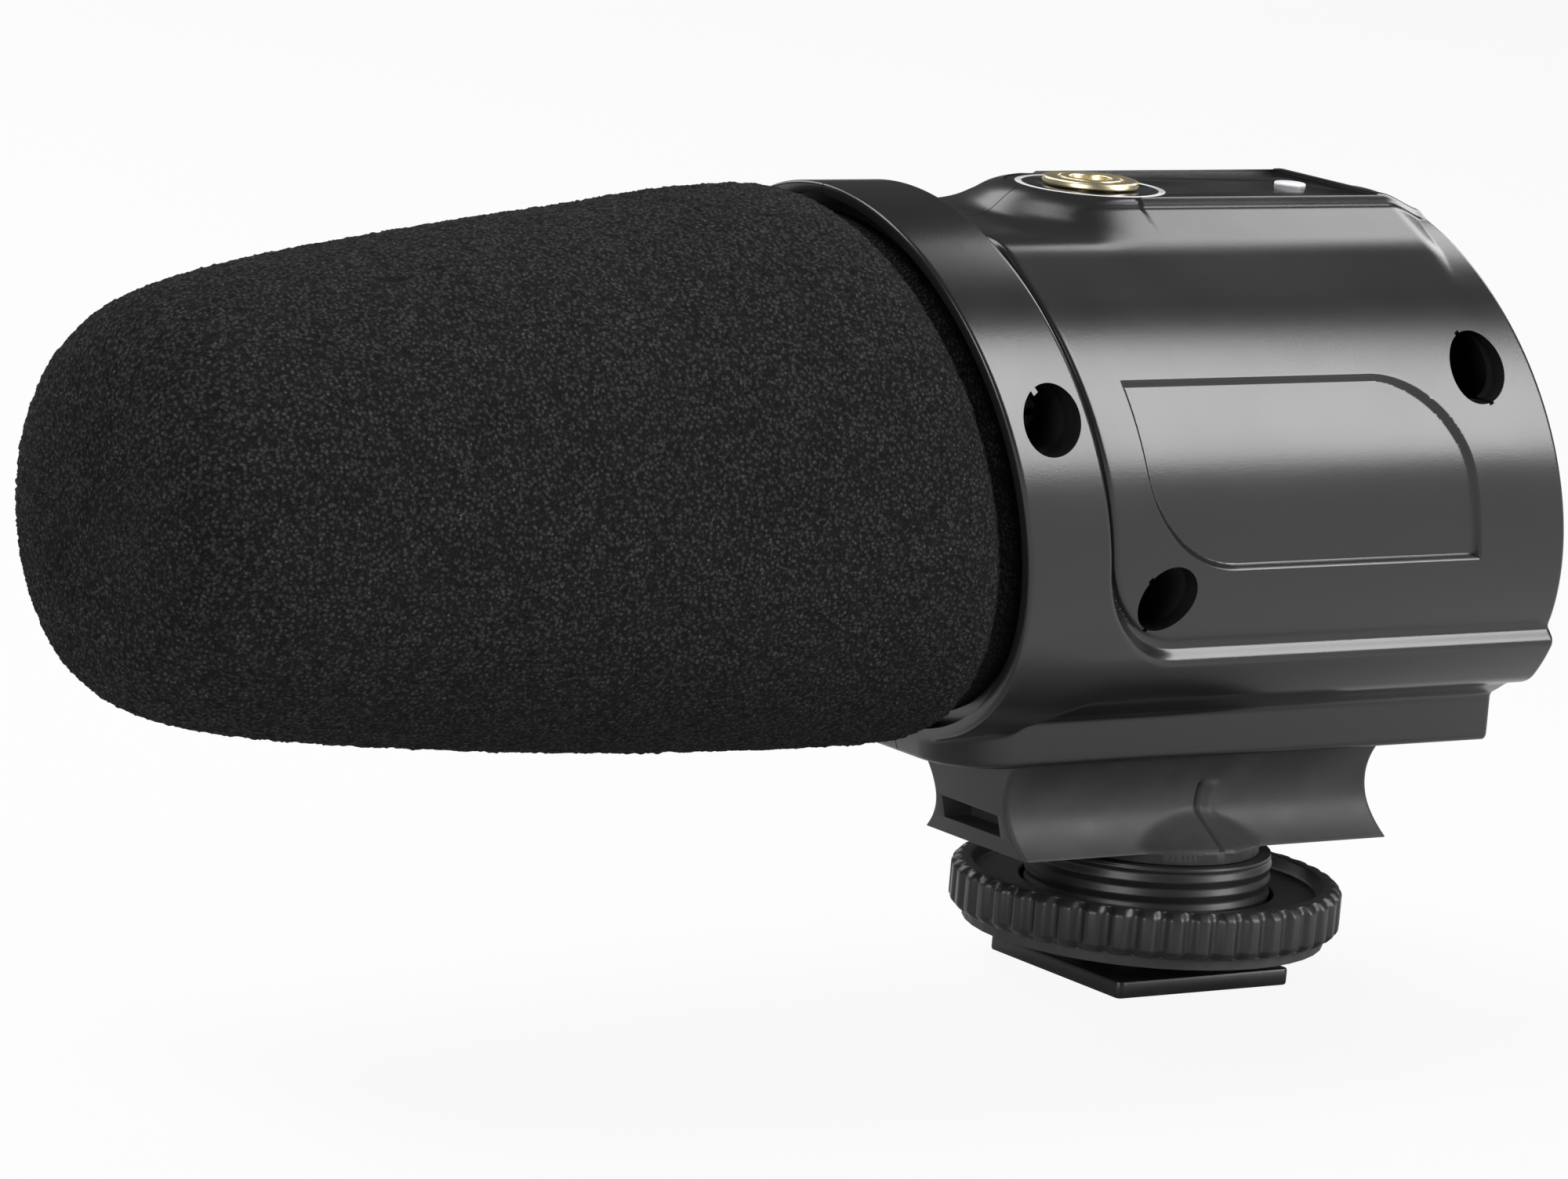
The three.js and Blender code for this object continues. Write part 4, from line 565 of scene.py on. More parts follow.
# %% [markdown]
# ## The barrel's outline
# Seen from the rear the side is a circle. Beside the island a flat slope leaves the circle,
# and the island stands on it with a short steep edge. The island sinks a little at its rear
# end, and in front of the jack it ends in a round nose over a valley.

# %% Outline of the barrel
ISLAND_TOP, ISLAND_HALF, ISLAND_SPLAY, CAP_TOP = 23.2, 7.12, 0.75, 22.55
SLOPE_START, SLOPE_END = (7.55, 22.5), (12.1, 19.65)
END_SLOPE_LENGTH, END_SLOPE_DROP, END_SLOPE_HEIGHTS = 4.2, 1.5, (16.0, 19.5)
JACK_Y = -12.9
NOSE_RADIUS, NOSE_FALL, NOSE_SPREAD, VALLEY_FLOOR = 7.45, 0.82, 0.4, 20.5


def line_distance(x, z, start, end):
    """Distance outside the straight line through two points of the section."""
    (x0, z0), (x1, z1) = start, end
    length = math.hypot(x1 - x0, z1 - z0)
    normal = (-(z1 - z0) / length, (x1 - x0) / length)
    return (x - x0) * normal[0] + (z - z0) * normal[1]


flank_reach = math.hypot(*SLOPE_END)
flank_angle = math.atan2(SLOPE_END[1], SLOPE_END[0]) - math.acos(SIDE / flank_reach)
FLANK_TOUCH = (SIDE * math.cos(flank_angle), SIDE * math.sin(flank_angle))
print("slope meets the circle at", [round(v, 2) for v in FLANK_TOUCH])


def sunk_side(x, y, z):
    """The barrel behind the step. Heights are from the axis, and y is on the square drawing."""
    across = np.abs(x)
    sink = ease(y, REAR - END_SLOPE_LENGTH, REAR + 0.4) * END_SLOPE_DROP
    height = z + sink * ease(z, *END_SLOPE_HEIGHTS)
    slope = line_distance(across, height, SLOPE_START, SLOPE_END)
    flank = line_distance(across, height, SLOPE_END, FLANK_TOUCH)
    roof = soft_max(soft_max(slope, flank, FLANK_SOFT), height - CAP_TOP, CAP_SOFT)
    roof = np.maximum(roof, across * math.sin(flank_angle) - z * math.cos(flank_angle))
    splay = np.clip(ISLAND_TOP - height, 0, ISLAND_SPLAY)
    island = soft_max(height - ISLAND_TOP, across - ISLAND_HALF - splay, SOFT_EDGE)
    island = np.maximum(island, -z)
    return soft_min(np.minimum(np.hypot(x, z) - SIDE, roof), island, SOFT_EDGE)


def nose_limit(x, y, z):
    """Above 0 in the valley in front of the island's round nose, and far below it behind."""
    real_y = y - RAKE * z
    reach = np.hypot(x, real_y - JACK_Y)
    steepness = NOSE_FALL - NOSE_SPREAD * (x / np.maximum(reach, 1)) ** 2
    fall = (z - ISLAND_TOP + (reach - NOSE_RADIUS) * steepness) / math.hypot(1, NOSE_FALL)
    valley = soft_max(-(z - VALLEY_FLOOR), -fall, VALLEY_SOFT)
    behind = ease(real_y, JACK_Y - 0.6, JACK_Y + 0.6) * 9
    return -valley - behind


# %% [markdown]
# ## Base, collar and recess
# The base is a block that narrows downward and has rounded corners in front. The collar and
# the cradle below the ledge stand proud of the sides, with a fine groove behind the collar's
# edge, and the cradle's underside is flat. The side recess is sunk by about half a
# millimetre, with two sharp and two round corners.

# %% Base, collar and recess
BASE_UNDER, BASE_CREASE, BASE_INNER_TOP = -24.8, -19.2, -12
BASE_HALF, BASE_TAPER, BASE_CORNER = 10.2, 0.3, 6.0
RECESS_FRONT, RECESS_REAR, RECESS_LOW, RECESS_HIGH = -20.9, 13.7, -5.7, 10.2
RECESS_ROUND, RECESS_DEPTH, RECESS_WALL = 8.6, 0.55, 0.5
STEP_ROUND, LEDGE_SLOPE = 8.0, 0.95
GROOVE_DEPTH, GROOVE_PLACE, GROOVE_WIDTH, GROOVE_HEIGHTS = 0.5, 0.38, 0.34, (-12.6, -8.5)
UNDER_TILT, UNDER_REACH = (0.2055, 0.978), 20.87
LOWER_EXTRA, LOWER_HEIGHTS = 0.45, (9.0, 13.5)


def base_block(x, y, z):
    half = BASE_HALF - BASE_TAPER * np.clip(BASE_CREASE - z, 0, None)
    across = np.abs(x) - (half - BASE_CORNER)
    ahead = RIM + BASE_CORNER - y
    outside = np.hypot(np.clip(across, 0, None), np.clip(ahead, 0, None))
    plan = outside + np.minimum(np.maximum(across, ahead), 0) - BASE_CORNER
    heights = soft_max(BASE_UNDER - z, z - BASE_INNER_TOP, SOFT_CREASE)
    return soft_max(plan, heights, SOFT_CREASE)


def recess_depth(x, y, z):
    """How far the side recess is sunk, with a sloped wall all round."""
    low_front = corner_distance(y - RECESS_FRONT, z - RECESS_LOW, RECESS_ROUND)
    high_rear = corner_distance(RECESS_REAR - y, RECESS_HIGH - z, RECESS_ROUND)
    inside = np.minimum(low_front, high_rear)
    return RECESS_DEPTH * ease(inside, 0, RECESS_WALL) * (x > 0)


def housing_distance(x, y, z):
    """Distance outside the whole moulding."""
    radius = np.hypot(x, z)
    behind_rim = ease(y, RIM + 2, STEP + 2)
    lower = LOWER_EXTRA * ease(-z, *LOWER_HEIGHTS) * behind_rim
    under = UNDER_TILT[0] * np.abs(x) - UNDER_TILT[1] * z - UNDER_REACH - 3 * (1 - behind_rim)
    proud = soft_max(radius - COLLAR - lower, under, UNDER_SOFT)
    panel = corner_distance(y - STEP, z - LEDGE + LEDGE_SLOPE * (radius - SIDE), STEP_ROUND)
    proud = soft_max(proud, panel, SOFT_CREASE)
    groove = GROOVE_DEPTH * np.exp(-(((panel - GROOVE_PLACE) / GROOVE_WIDTH) ** 2))
    groove = groove * ease(z, *GROOVE_HEIGHTS)
    side = soft_max(sunk_side(x, y, z) + groove, STEP - 4 - y, SOFT_CREASE)
    body = soft_min(proud, soft_max(side, nose_limit(x, y, z), NOSE_SOFT), SOFT_EDGE)
    return soft_min(body, base_block(x, y, z), SOFT_CREASE)


# %% [markdown]
# ## Placing the skin's points
# The points lie close together where the form turns sharply: at the step, the two rims, the
# island's edge and the ledge. Elsewhere a fifth of a millimetre along the barrel is enough,
# and about as much around it. The two rims are rounded by pulling the last rows in.

# %% The housing's skin
ROW_MARKS = [RIM, RIM + 0.2, STEP - 0.1, STEP + 0.15, RECESS_FRONT, RECESS_REAR, REAR - 0.2, REAR]
ANGLE_MARKS = [-90, -66, -60, -50, -33.5, -14.5, 26.9, 46, 58.4, 68.0, 71.9, 75.0, 90]
END_ROUND, RIM_SHARE = 0.45, 0.8
HALVINGS = 26


def spread(marks, fine, coarse, reach):
    """Stations from the first mark to the last, closer together near each mark."""
    stations = [marks[0]]
    while stations[-1] < marks[-1] - 1e-9:
        here = stations[-1]
        gap = min(abs(here - mark) for mark in marks)
        stations.append(here + fine + (coarse - fine) * min(gap / reach, 1) ** 1.5)
    stations[-1] = marks[-1]
    return np.array(stations)


def on_surface(distance, angle, y, nearest, farthest):
    """The radius at which each ray from the axis leaves the form."""
    low = np.full(np.broadcast(angle, y).shape, nearest, float)
    high = np.full(low.shape, farthest, float)
    cosine, sine = np.cos(angle), np.sin(angle)
    for _ in range(HALVINGS):
        middle = (low + high) / 2
        inside = distance(middle * cosine, y, middle * sine) < 0
        low, high = np.where(inside, middle, low), np.where(inside, high, middle)
    return (low + high) / 2


def housing_skin(name):
    rows = spread(ROW_MARKS, fine=0.07, coarse=0.2, reach=1.6)
    right_half = np.radians(spread(ANGLE_MARKS, fine=0.16, coarse=0.45, reach=3.0))
    angle = np.concatenate([right_half, (math.pi - right_half)[::-1][1:-1]])
    y, angle = np.meshgrid(rows, angle, indexing="ij")
    front = np.clip(1 - (y - RIM) / END_ROUND, 0, 1)
    rear = np.clip(1 - (REAR - y) / END_ROUND, 0, 1)
    radius = on_surface(housing_distance, angle, y, nearest=14, farthest=30)
    radius -= recess_depth(np.cos(angle), y, radius * np.sin(angle))
    radius -= END_ROUND * (1 - np.sqrt(1 - front**2)) * RIM_SHARE
    radius -= END_ROUND * (1 - np.sqrt(1 - rear**2))
    rings = np.stack([radius * np.cos(angle), y, radius * np.sin(angle) + AXIS], 2)
    rings = lean(rings.reshape(-1, 3)).reshape(rings.shape)
    return facing_out(skin(name, rings, *[lean([[0, at, AXIS]]) for at in (RIM, REAR)]))


def leaned(item):
    points = np.array([v.co for v in item.data.vertices]) / MM
    item.data.vertices.foreach_set("co", (lean(points) * MM).astype(np.float32).ravel())
    item.data.update()
    return item


housing = housing_skin("housing_left_shell")
tell(housing)

# %% [markdown]
# ## Hollow, wells and openings
# What a mould's cores and pins would leave open is cut with plain solids: the rim's pocket and
# bore, the cavity, the three screw wells, the plate's pocket, and the switches' slots. Two
# wells have small notches at the mouth, and the third has a small tooth.

# %% Hollow
LIP, LIP_DEPTH, BORE = 22.3, 1.6, 16.6
CAVITY, CAVITY_FRONT, WALL = 20.45, -16.0, 2.1
ROOF_UNDER, ROOF_HALF = 20.3, 5.5

bore_end = CAVITY_FRONT + 1
hollow = lathe("hollow", [
    [0, RIM - 2], [LIP, RIM - 2], [LIP, RIM + LIP_DEPTH],
    [BORE, RIM + LIP_DEPTH], [BORE, bore_end], [0, bore_end],
], 160, (0, 0, AXIS), "y")
cavity_reach = math.hypot(ROOF_HALF, ROOF_UNDER)
touch = math.degrees(math.atan2(ROOF_UNDER, ROOF_HALF) - math.acos(CAVITY / cavity_reach))
cavity_arc = arc((0, 0), CAVITY, touch, -180 - touch, 90)
section = [[ROOF_HALF, ROOF_UNDER], *cavity_arc, [-ROOF_HALF, ROOF_UNDER]]
cavity = prism("cavity", section, -(REAR - WALL), -CAVITY_FRONT)
combine(hollow, turn_and_move(cavity, math.pi / 2, "X", (0, 0, AXIS)), "UNION")
combine(housing, leaned(hollow))
tell(housing)

# %% Screw wells
WELL_RADIUS, WELL_MOUTH, SHANK_RADIUS = 2.88, 27, 1.5
MARK_HALF, MARK_INWARD, NOTCH_DEPTH, TOOTH_ROOT = 0.26, 0.45, 0.2, 0.01
# Each well's y and z, the height of its floor above the middle plane, and its marks.
WELLS = [
    (-31.6, 52.6, 16.2, "tooth", (122,)),
    (14.2, 55.6, 9.0, "notch", (114, 288)),
    (-17.3, 37.2, 9.0, "notch", (143, 249)),
]

for y, z, bottom, mark, places in WELLS:
    well = rod("well", WELL_RADIUS, bottom, WELL_MOUTH, y, z)
    far = WELL_RADIUS + (NOTCH_DEPTH if mark == "notch" else TOOTH_ROOT)
    for turn_by in places:
        near_corner = (bottom + 3, -MARK_HALF, WELL_RADIUS - MARK_INWARD)
        bar = box("mark", near_corner, (WELL_MOUTH, MARK_HALF, far))
        turn_and_move(bar, math.radians(turn_by - 90), "X", (0, y, z))
        combine(well, bar, "UNION" if mark == "notch" else "DIFFERENCE")
    combine(well, rod("shank", SHANK_RADIUS, -6, bottom + 1, y, z, 24), "UNION")
    combine(housing, well)
tell(housing)

# %% Openings for the plate and the switches
PLATE_HALF, PLATE_REAR, PLATE_TOP, PLATE_THICK = 7.1, 12.2, 68.1, 1.1
LAMP_Y = 8.5
HOLE_LOW, HOLE_HIGH = 60, 72
SWITCH_HEIGHTS = (1.5, -8.5)
POCKET_HALF, POCKET_DEPTH, POCKET_RISE = 5.5, 0.8, 2.3
SWITCH_HALF, SWITCH_RISE = 3.35, 1.05


def plate_outline(margin):
    half, rear = PLATE_HALF + margin, PLATE_REAR + margin
    return [[half, rear], [-half, rear], *arc((0, JACK_Y), half, 180, 360, 64)]


combine(housing, prism("pocket", plate_outline(0.12), PLATE_TOP - PLATE_THICK, HOLE_HIGH))
for y, radius in ((JACK_Y, 2.95), (LAMP_Y, 1.55)):
    combine(housing, peg("hole", radius, HOLE_LOW, HOLE_HIGH, 48, (0, y, 0)))

for rise in SWITCH_HEIGHTS:
    near_corner = (-POCKET_HALF, -POCKET_DEPTH, rise - POCKET_RISE)
    pocket = box("pocket", near_corner, (POCKET_HALF, 3, rise + POCKET_RISE))
    near_corner = (-SWITCH_HALF, -5, rise - SWITCH_RISE)
    combine(pocket, box("slot", near_corner, (SWITCH_HALF, 1, rise + SWITCH_RISE)), "UNION")
    combine(housing, turn_and_move(pocket, math.atan(RAKE), "X", (0, REAR, AXIS)))
tell(housing)

# %% [markdown]
# ## Two halves
# The moulding is split along its middle, and the far half has the window and the seat for the
# battery cover. The parting line is a tenth of a millimetre wide. A tongue of the far half,
# inside the wall, closes it, as such halves have against dust.

# %% Split into halves
DOOR = (-19.8, 18.6, -8.2, 7.4)
DOOR_ROUND, DOOR_THICK, DOOR_GAP, WINDOW_MARGIN = 2.4, 1.1, 0.15, -0.9
DOOR_OUT, DOOR_IN = -27, -10  # well outside and inside the wall
PARTING = 0.05


def drum(name, radius):
    """A cylinder about the barrel's axis that is longer than the barrel."""
    return peg(name, radius, -40, 40, 192, (0, 0, AXIS), "y")


def door_outline(margin):
    front, rear, low, high = DOOR
    corner = max(DOOR_ROUND + margin, 0.6)
    left, right_side = front - margin + corner, rear + margin - corner
    bottom, top = low - margin + corner, high + margin - corner
    turns = ((left, bottom, 180), (right_side, bottom, 270), (right_side, top, 0), (left, top, 90))
    return [point for y, z, start in turns for point in arc((y, z), corner, start, start + 90, 8)]


def door_block(name, margin, outer=None, inner=None):
    """The door's outline drawn out along x, between two radii about the barrel's axis."""
    item = prism(name, door_outline(margin), DOOR_OUT, DOOR_IN)
    flip = Matrix(((0, 0, 1, 0), (1, 0, 0, 0), (0, 1, 0, AXIS * MM), (0, 0, 0, 1)))
    item.data.transform(flip)
    facing_out(item)
    if inner is not None:
        combine(item, drum("core", inner))
    if outer is not None:
        combine(item, drum("outer", outer), "INTERSECT")
    return item


# Both boxes reach well beyond the moulding, and leave the parting line between them.
other_half = housing.copy()
other_half.data = housing.data.copy()
other_half.name = "housing_right_shell"
into_scene(other_half)
combine(housing, box("near side", (PARTING, -60, -5), (40, 60, 90)), "INTERSECT")
far_side = box("far side", (-40, -60, -5), (-PARTING, 60, 90))
tongue = box("tongue", (-1, RIM + 3, AXIS - 21.2), (0.9 * PARTING, REAR - 0.8, AXIS + 19.5))
combine(far_side, leaned(tongue), "UNION")
combine(other_half, far_side, "INTERSECT")
combine(other_half, leaned(door_block("seat", DOOR_GAP, inner=SIDE - DOOR_THICK - 0.1)))
combine(other_half, leaned(door_block("window", WINDOW_MARGIN)))

for item, node in ((housing, "housing_left"), (other_half, "housing_right")):
    smooth(item, 32)
    dress(item, housing_finish)
    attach(item, "microphone")
    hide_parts(node)
    tell(item)

# %% [markdown]
# ## The battery cover
# The cover carries on the barrel's curve and has a few grip grooves. It is cut from the same
# outline as its seat, less the gap around it, so that the line around it stays even.

# %% Battery cover
GRIP_COUNT, GRIP_PITCH, GRIP_HALF, GRIP_DEPTH = 3, 2.0, 0.45, 0.5
GRIP_FRONT, GRIP_REAR = -4.1, 2.9

cover = door_block("battery_cover_shell", 0.0, outer=SIDE, inner=SIDE - DOOR_THICK)
for index in range(GRIP_COUNT):
    middle = AXIS + DOOR[3] - GRIP_PITCH * (index + 1)
    near_corner = (DOOR_OUT, GRIP_FRONT, middle - GRIP_HALF)
    bar = box("bar", near_corner, (-15, GRIP_REAR, middle + GRIP_HALF))
    combine(bar, drum("core", SIDE - GRIP_DEPTH))
    combine(cover, bar)
leaned(cover)
smooth(soften(cover, edge=0.12, degrees=50), 40)
dress(cover, housing_finish)
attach(cover, "cover")
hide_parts("battery_cover")
tell(cover)

# %% [markdown]
# ## The foam windscreen
# Open cell foam is a mass of small pores, and its outline is never clean. The form is turned
# on a dense grid, then every point moves in or out by seeded noise at the size of the pores.
# The foam sags toward its nose, and its rear end leans with the collar.

# %% The foam's outline
NOSE_Y = -107.35
FOAM_OUTER = [
    (NOSE_Y, 0.0), (-107.33, 4.4), (-107.2, 8.8), (-106.7, 11.8), (-105.9, 13.6), (-104.5, 15.0),
    (-102.7, 16.1), (-100.4, 17.0), (-97.2, 17.85), (-93.1, 18.65), (-86.8, 19.55), (-74.0, 21.0),
    (-66.0, 21.75), (-58.0, 22.4), (-50.0, 22.9), (-44.0, 23.1), (-40.0, 23.1), (-38.2, 22.9),
    (-37.0, 22.45), (-36.2, 21.8), (-35.75, 21.2), (-35.6, 21.0),
]
BLUR_REACH = 12


def run_along(points):
    """How far along a path each of its points lies."""
    return np.concatenate([[0], np.cumsum(np.linalg.norm(np.diff(points, axis=0), axis=1))])


def resampled(points, run, stations):
    return np.stack([np.interp(stations, run, points[:, axis]) for axis in (0, 1)], 1)


def smooth_path(points, spacing):
    """A curve through the points with even spacing."""
    points = np.array(points, float)
    run = run_along(points)
    curve = resampled(points, run, np.linspace(0, run[-1], 400))
    kernel = np.hanning(2 * BLUR_REACH + 1)
    kernel = kernel / kernel.sum()
    padded = np.vstack([np.repeat(curve[:1], BLUR_REACH, 0), curve, np.repeat(curve[-1:], BLUR_REACH, 0)])
    curve = np.stack([np.convolve(padded[:, axis], kernel, "valid") for axis in (0, 1)], 1)
    curve[0], curve[-1] = points[0], points[-1]
    run = run_along(curve)
    return resampled(curve, run, np.linspace(0, run[-1], int(run[-1] / spacing)))


# %% The foam's skin
SAG_START, SAG_SLOPE = -39.0, 0.0245
LEAN_START, LEAN_FULL = -66.0, -40.0
FOAM_SEED, FOAM_SIDES, FOAM_SPACING = 7, 720, 0.2
PORES = ((1, 0.03), (3, 0.045), (9, 0.03))  # width in points, depth
PORE_LIMIT = 0.2
FOAM_NECK_END, FOAM_NECK, FOAM_BORE, BORE_END = -33.05, 21.0, 11.35, -96.6


def foam_noise(shape, random, width):
    """Random relief that wraps around, smoothed over a few points."""
    relief = random.standard_normal(shape)
    kernel = np.hanning(width + 2)[1:-1]
    kernel /= kernel.sum()
    pad = width // 2
    for axis in (0, 1):
        wrapped = [relief.take(range(-pad, 0), axis), relief, relief.take(range(pad), axis)]
        wrapped = np.concatenate(wrapped, axis)
        relief = np.apply_along_axis(lambda line: np.convolve(line, kernel, "valid"), axis, wrapped)
    return relief / relief.std()


def foam_windscreen():
    random = np.random.default_rng(FOAM_SEED)
    path = smooth_path(FOAM_OUTER, FOAM_SPACING)
    path = path[path[:, 1] > 0.3]
    angle = around(FOAM_SIDES)
    pores = sum(foam_noise((len(path), FOAM_SIDES), random, width) * depth for width, depth in PORES)
    near_pole = np.clip(path[:, 1] / 6, 0.2, 1)[:, None]
    pores = np.clip(pores, -PORE_LIMIT, PORE_LIMIT) * near_pole
    slope = np.gradient(path, axis=0)
    slope /= np.linalg.norm(slope, axis=1)[:, None]
    radius = path[:, 1][:, None] + pores * slope[:, 0][:, None]
    y = path[:, 0][:, None] - pores * slope[:, 1][:, None]
    across, up = radius * np.cos(angle), radius * np.sin(angle)
    sag = np.clip(SAG_START - y, 0, None) * SAG_SLOPE
    lean_share = ease(y, LEAN_START, LEAN_FULL)
    rings = [np.stack([across, y - lean_share * RAKE * up, up + AXIS - sag], 2)]
    neck_end, bore_rim = (FOAM_NECK_END, FOAM_NECK, 1), (FOAM_NECK_END, FOAM_BORE, 1)
    for at, size, share in (neck_end, bore_rim, (BORE_END, FOAM_BORE, 0)):
        up = size * np.sin(angle)
        rings.append(np.stack([size * np.cos(angle), at - share * RAKE * up, up + AXIS], 1)[None])
    nose = [0, NOSE_Y, AXIS - (SAG_START - NOSE_Y) * SAG_SLOPE]
    return facing_out(skin("foam_windscreen_soft", np.concatenate(rings), nose, [0, BORE_END, AXIS]))


foam = smooth(foam_windscreen(), 180)
tell(foam)

# %% [markdown]
# ## The foam's finish
# The pores are rounded cells, and the walls between them end in short fibres. The pits are
# darkened in colour as painted shade, and the fibre ends are paled as a painted highlight. A
# smooth Voronoi pattern gives the pits and fine noise the fibres. Both feed the colour and the
# bump, so that the painted light and shade sit where the relief is.


# %% Open cell foam
def open_cell_foam():
    finish = Finish("open cell foam")
    cells = finish.field(
        "TexVoronoi", 0, {"feature": "SMOOTH_F1"}, Vector=finish.place(), Scale=2600.0, Smoothness=0.3,
    )
    fine = finish.noise(4200, 3.0, 0.7)
    broad = finish.noise(420, 2.0, 0.5)
    # painted shade in the pits and a painted highlight on the fibre ends, both in the colour
    pit_shade = finish.range(cells, 0.15, 0.62, 1.0, 0.0)
    fibre_highlight = finish.range(fine, 0.52, 0.74)
    level = (0.3 + pit_shade * 0.7) * (0.55 + fibre_highlight * 1.3) * (0.75 + broad * 0.5)
    tone = finish.blend(finish.range(level, 0.1, 1.5, kind="LINEAR"), grey(0.003), grey(0.092))
    height = pit_shade * 0.6 + fine * 0.6
    return finish.surface(
        Base_Color=tone, Roughness=1.0, Specular_IOR_Level=0.15, Normal=finish.bump(height, 0.25, 0.9),
    )


dress(foam, open_cell_foam())
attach(foam, "windscreen")
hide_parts("foam_windscreen")
print("dressed", foam.name)

# %% [markdown]
# ## The rubber block
# The block is moulded rubber with a waist. Each level of it is one ring of points, whose half
# width follows the waist and, near the neck, a circle, so that the flare grows out of the side
# without an edge. A slot in front and a seam with a bead at the side break up the plain faces.
# The points lie close together along the seam, which is only a few tenths wide.

# %% The block's outline
BLOCK_FRONT, BLOCK_REAR, BLOCK_LOW, BLOCK_TOP = -27.5, 11.6, 12.0, 20.3
BLOCK_CORNER = 0.5
WAIST, WAIST_Z, BLOCK_UNDER_HALF, BLOCK_TOP_HALF = 5.2, 15.6, 7.3, 7.6
BOSS, BOSS_LOW, BOSS_EDGE, BOSS_SLOPE, BOSS_SOFT = 9.4, 11.2, 12.3, 1.6, 0.8
SEAM_Y, SEAM_TOP, SEAM_FADE, SEAM_DEPTH, SEAM_WIDTH = 0.5, 17.8, 0.6, 0.36, 0.2
BEAD_AWAY, BEAD_RISE, BEAD_WIDTH = 1.3, 0.22, 0.65

seam_marks = [SEAM_Y - RAKE * (AXIS - level) for level in (12.0, 14.1, 16.2, 18.3)]
block_ends = BLOCK_FRONT + BLOCK_CORNER, BLOCK_REAR - BLOCK_CORNER
block_marks = [block_ends[0], *seam_marks, block_ends[1]]
BLOCK_STATIONS = spread(block_marks, fine=0.04, coarse=0.5, reach=3.0)
print("points along the block:", len(BLOCK_STATIONS))


def block_half_width(y, z):
    """Half the block's width: wide below, a waist, a wide lip, and a bulge round the neck."""
    below = (BLOCK_UNDER_HALF - WAIST) * np.clip((WAIST_Z - z) / (WAIST_Z - BLOCK_LOW), 0, 1) ** 2
    above = (BLOCK_TOP_HALF - WAIST) * np.clip((z - WAIST_Z) / (BLOCK_TOP - WAIST_Z), 0, 1) ** 2
    boss = max(BOSS - BOSS_SLOPE * max(z - BOSS_EDGE, 0), 0)
    bulge = np.sqrt(np.clip(boss**2 - y**2, 0, None))
    half = soft_max(WAIST + below + above, bulge, BOSS_SOFT)
    low = 1 - ease(z, SEAM_TOP - SEAM_FADE, SEAM_TOP)
    seam = np.exp(-(((y - SEAM_Y) / SEAM_WIDTH) ** 2))
    bead = np.exp(-(((y - SEAM_Y - BEAD_AWAY) / BEAD_WIDTH) ** 2))
    return half - SEAM_DEPTH * seam * low + BEAD_RISE * bead * low


def block_ring(z):
    """One level of the block, round its plan from the front right corner."""
    along = BLOCK_STATIONS
    shift = -RAKE * (z - AXIS)
    half = block_half_width(along + shift, z)
    corners = [
        arc((side * (half[end] - BLOCK_CORNER), along[end]), BLOCK_CORNER, start, start + 90, 5)
        for side, end, start in ((1, -1, 0), (-1, -1, 90), (-1, 0, 180), (1, 0, 270))
    ]
    right_side = np.stack([half, along], 1)[1:-1]
    left_side = (right_side * [-1, 1])[::-1]
    plan = np.vstack([right_side, *corners[:2], left_side, *corners[2:]])
    return np.column_stack([plan[:, 0], plan[:, 1] + shift, np.full(len(plan), z)])


# %% Rubber block
SLOT_HALF, SLOT_DEPTH, SLOT_LEVEL, SLOT_LOW, SLOT_HIGH = 4.0, 3, 14.3, 13.45, 15.35
BLOCK_HOLES = ((0, 0, 3.0), (1.5, -13.0, 3.05), (-1.5, 13.0, 3.05))  # x, y, radius
BLOCK_HOLE_LOW, BLOCK_HOLE_TOP, BLOCK_LEVELS = 9, 14.6, 46

rings = np.array([block_ring(z) for z in np.linspace(BLOCK_LOW, BLOCK_TOP, BLOCK_LEVELS)])
centre = rings.mean(axis=1)
block = facing_out(skin("rubber_block_body", rings, centre[0], centre[-1]))
combine(block, peg("flare", BOSS, BOSS_LOW, BOSS_EDGE, 128), "UNION")
slot_y = BLOCK_FRONT - RAKE * (SLOT_LEVEL - AXIS)
slot_corner = (-SLOT_HALF, slot_y - SLOT_DEPTH, SLOT_LOW)
combine(block, box("slot", slot_corner, (SLOT_HALF, slot_y + SLOT_DEPTH, SLOT_HIGH)))
for x, y, radius in BLOCK_HOLES:
    combine(block, peg("hole", radius, BLOCK_HOLE_LOW, BLOCK_HOLE_TOP, 32, (x, y, 0)))
smooth(soften(block, edge=0.2, degrees=55), 45)
tell(block)


def moulded_rubber():
    finish = Finish("moulded rubber")
    grain = finish.noise(2600, 3.0, 0.6)
    dust = finish.noise(160, 3.0, 0.6)
    return finish.surface(
        Base_Color=finish.blend(finish.range(dust, 0.35, 0.75), grey(0.028), grey(0.042)),
        Roughness=finish.range(dust, 0.3, 0.7, 0.5, 0.6), Specular_IOR_Level=0.4,
        Normal=finish.bump(grain, 0.02, 0.6),
    )


rubber = moulded_rubber()
dress(block, rubber)
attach(block, "microphone")
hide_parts("rubber_block")

# %% [markdown]
# ## Anodised metal
# The neck, the ring and the foot are aluminium, turned or milled and anodised black. Fine
# specks make the bump, and a broader noise stands for handling wear: where it is strong, the
# metal is a little paler and duller. A thin coat gives the sheen of the sealed surface.


# %% Black metal
def black_metal(name, level, rough, grain):
    finish = Finish(name)
    speck = finish.noise(3000, 2.0, 0.6)
    wear = finish.noise(260, 4.0, 0.7)
    return finish.surface(
        Base_Color=finish.blend(finish.range(wear, 0.45, 0.8), grey(level), grey(level * 1.5)),
        Metallic=0.25, Roughness=finish.range(wear, 0.3, 0.7, rough, rough + 0.07),
        Normal=finish.bump(speck, grain, 0.5), Coat_Weight=0.2, Coat_Roughness=0.25,
    )


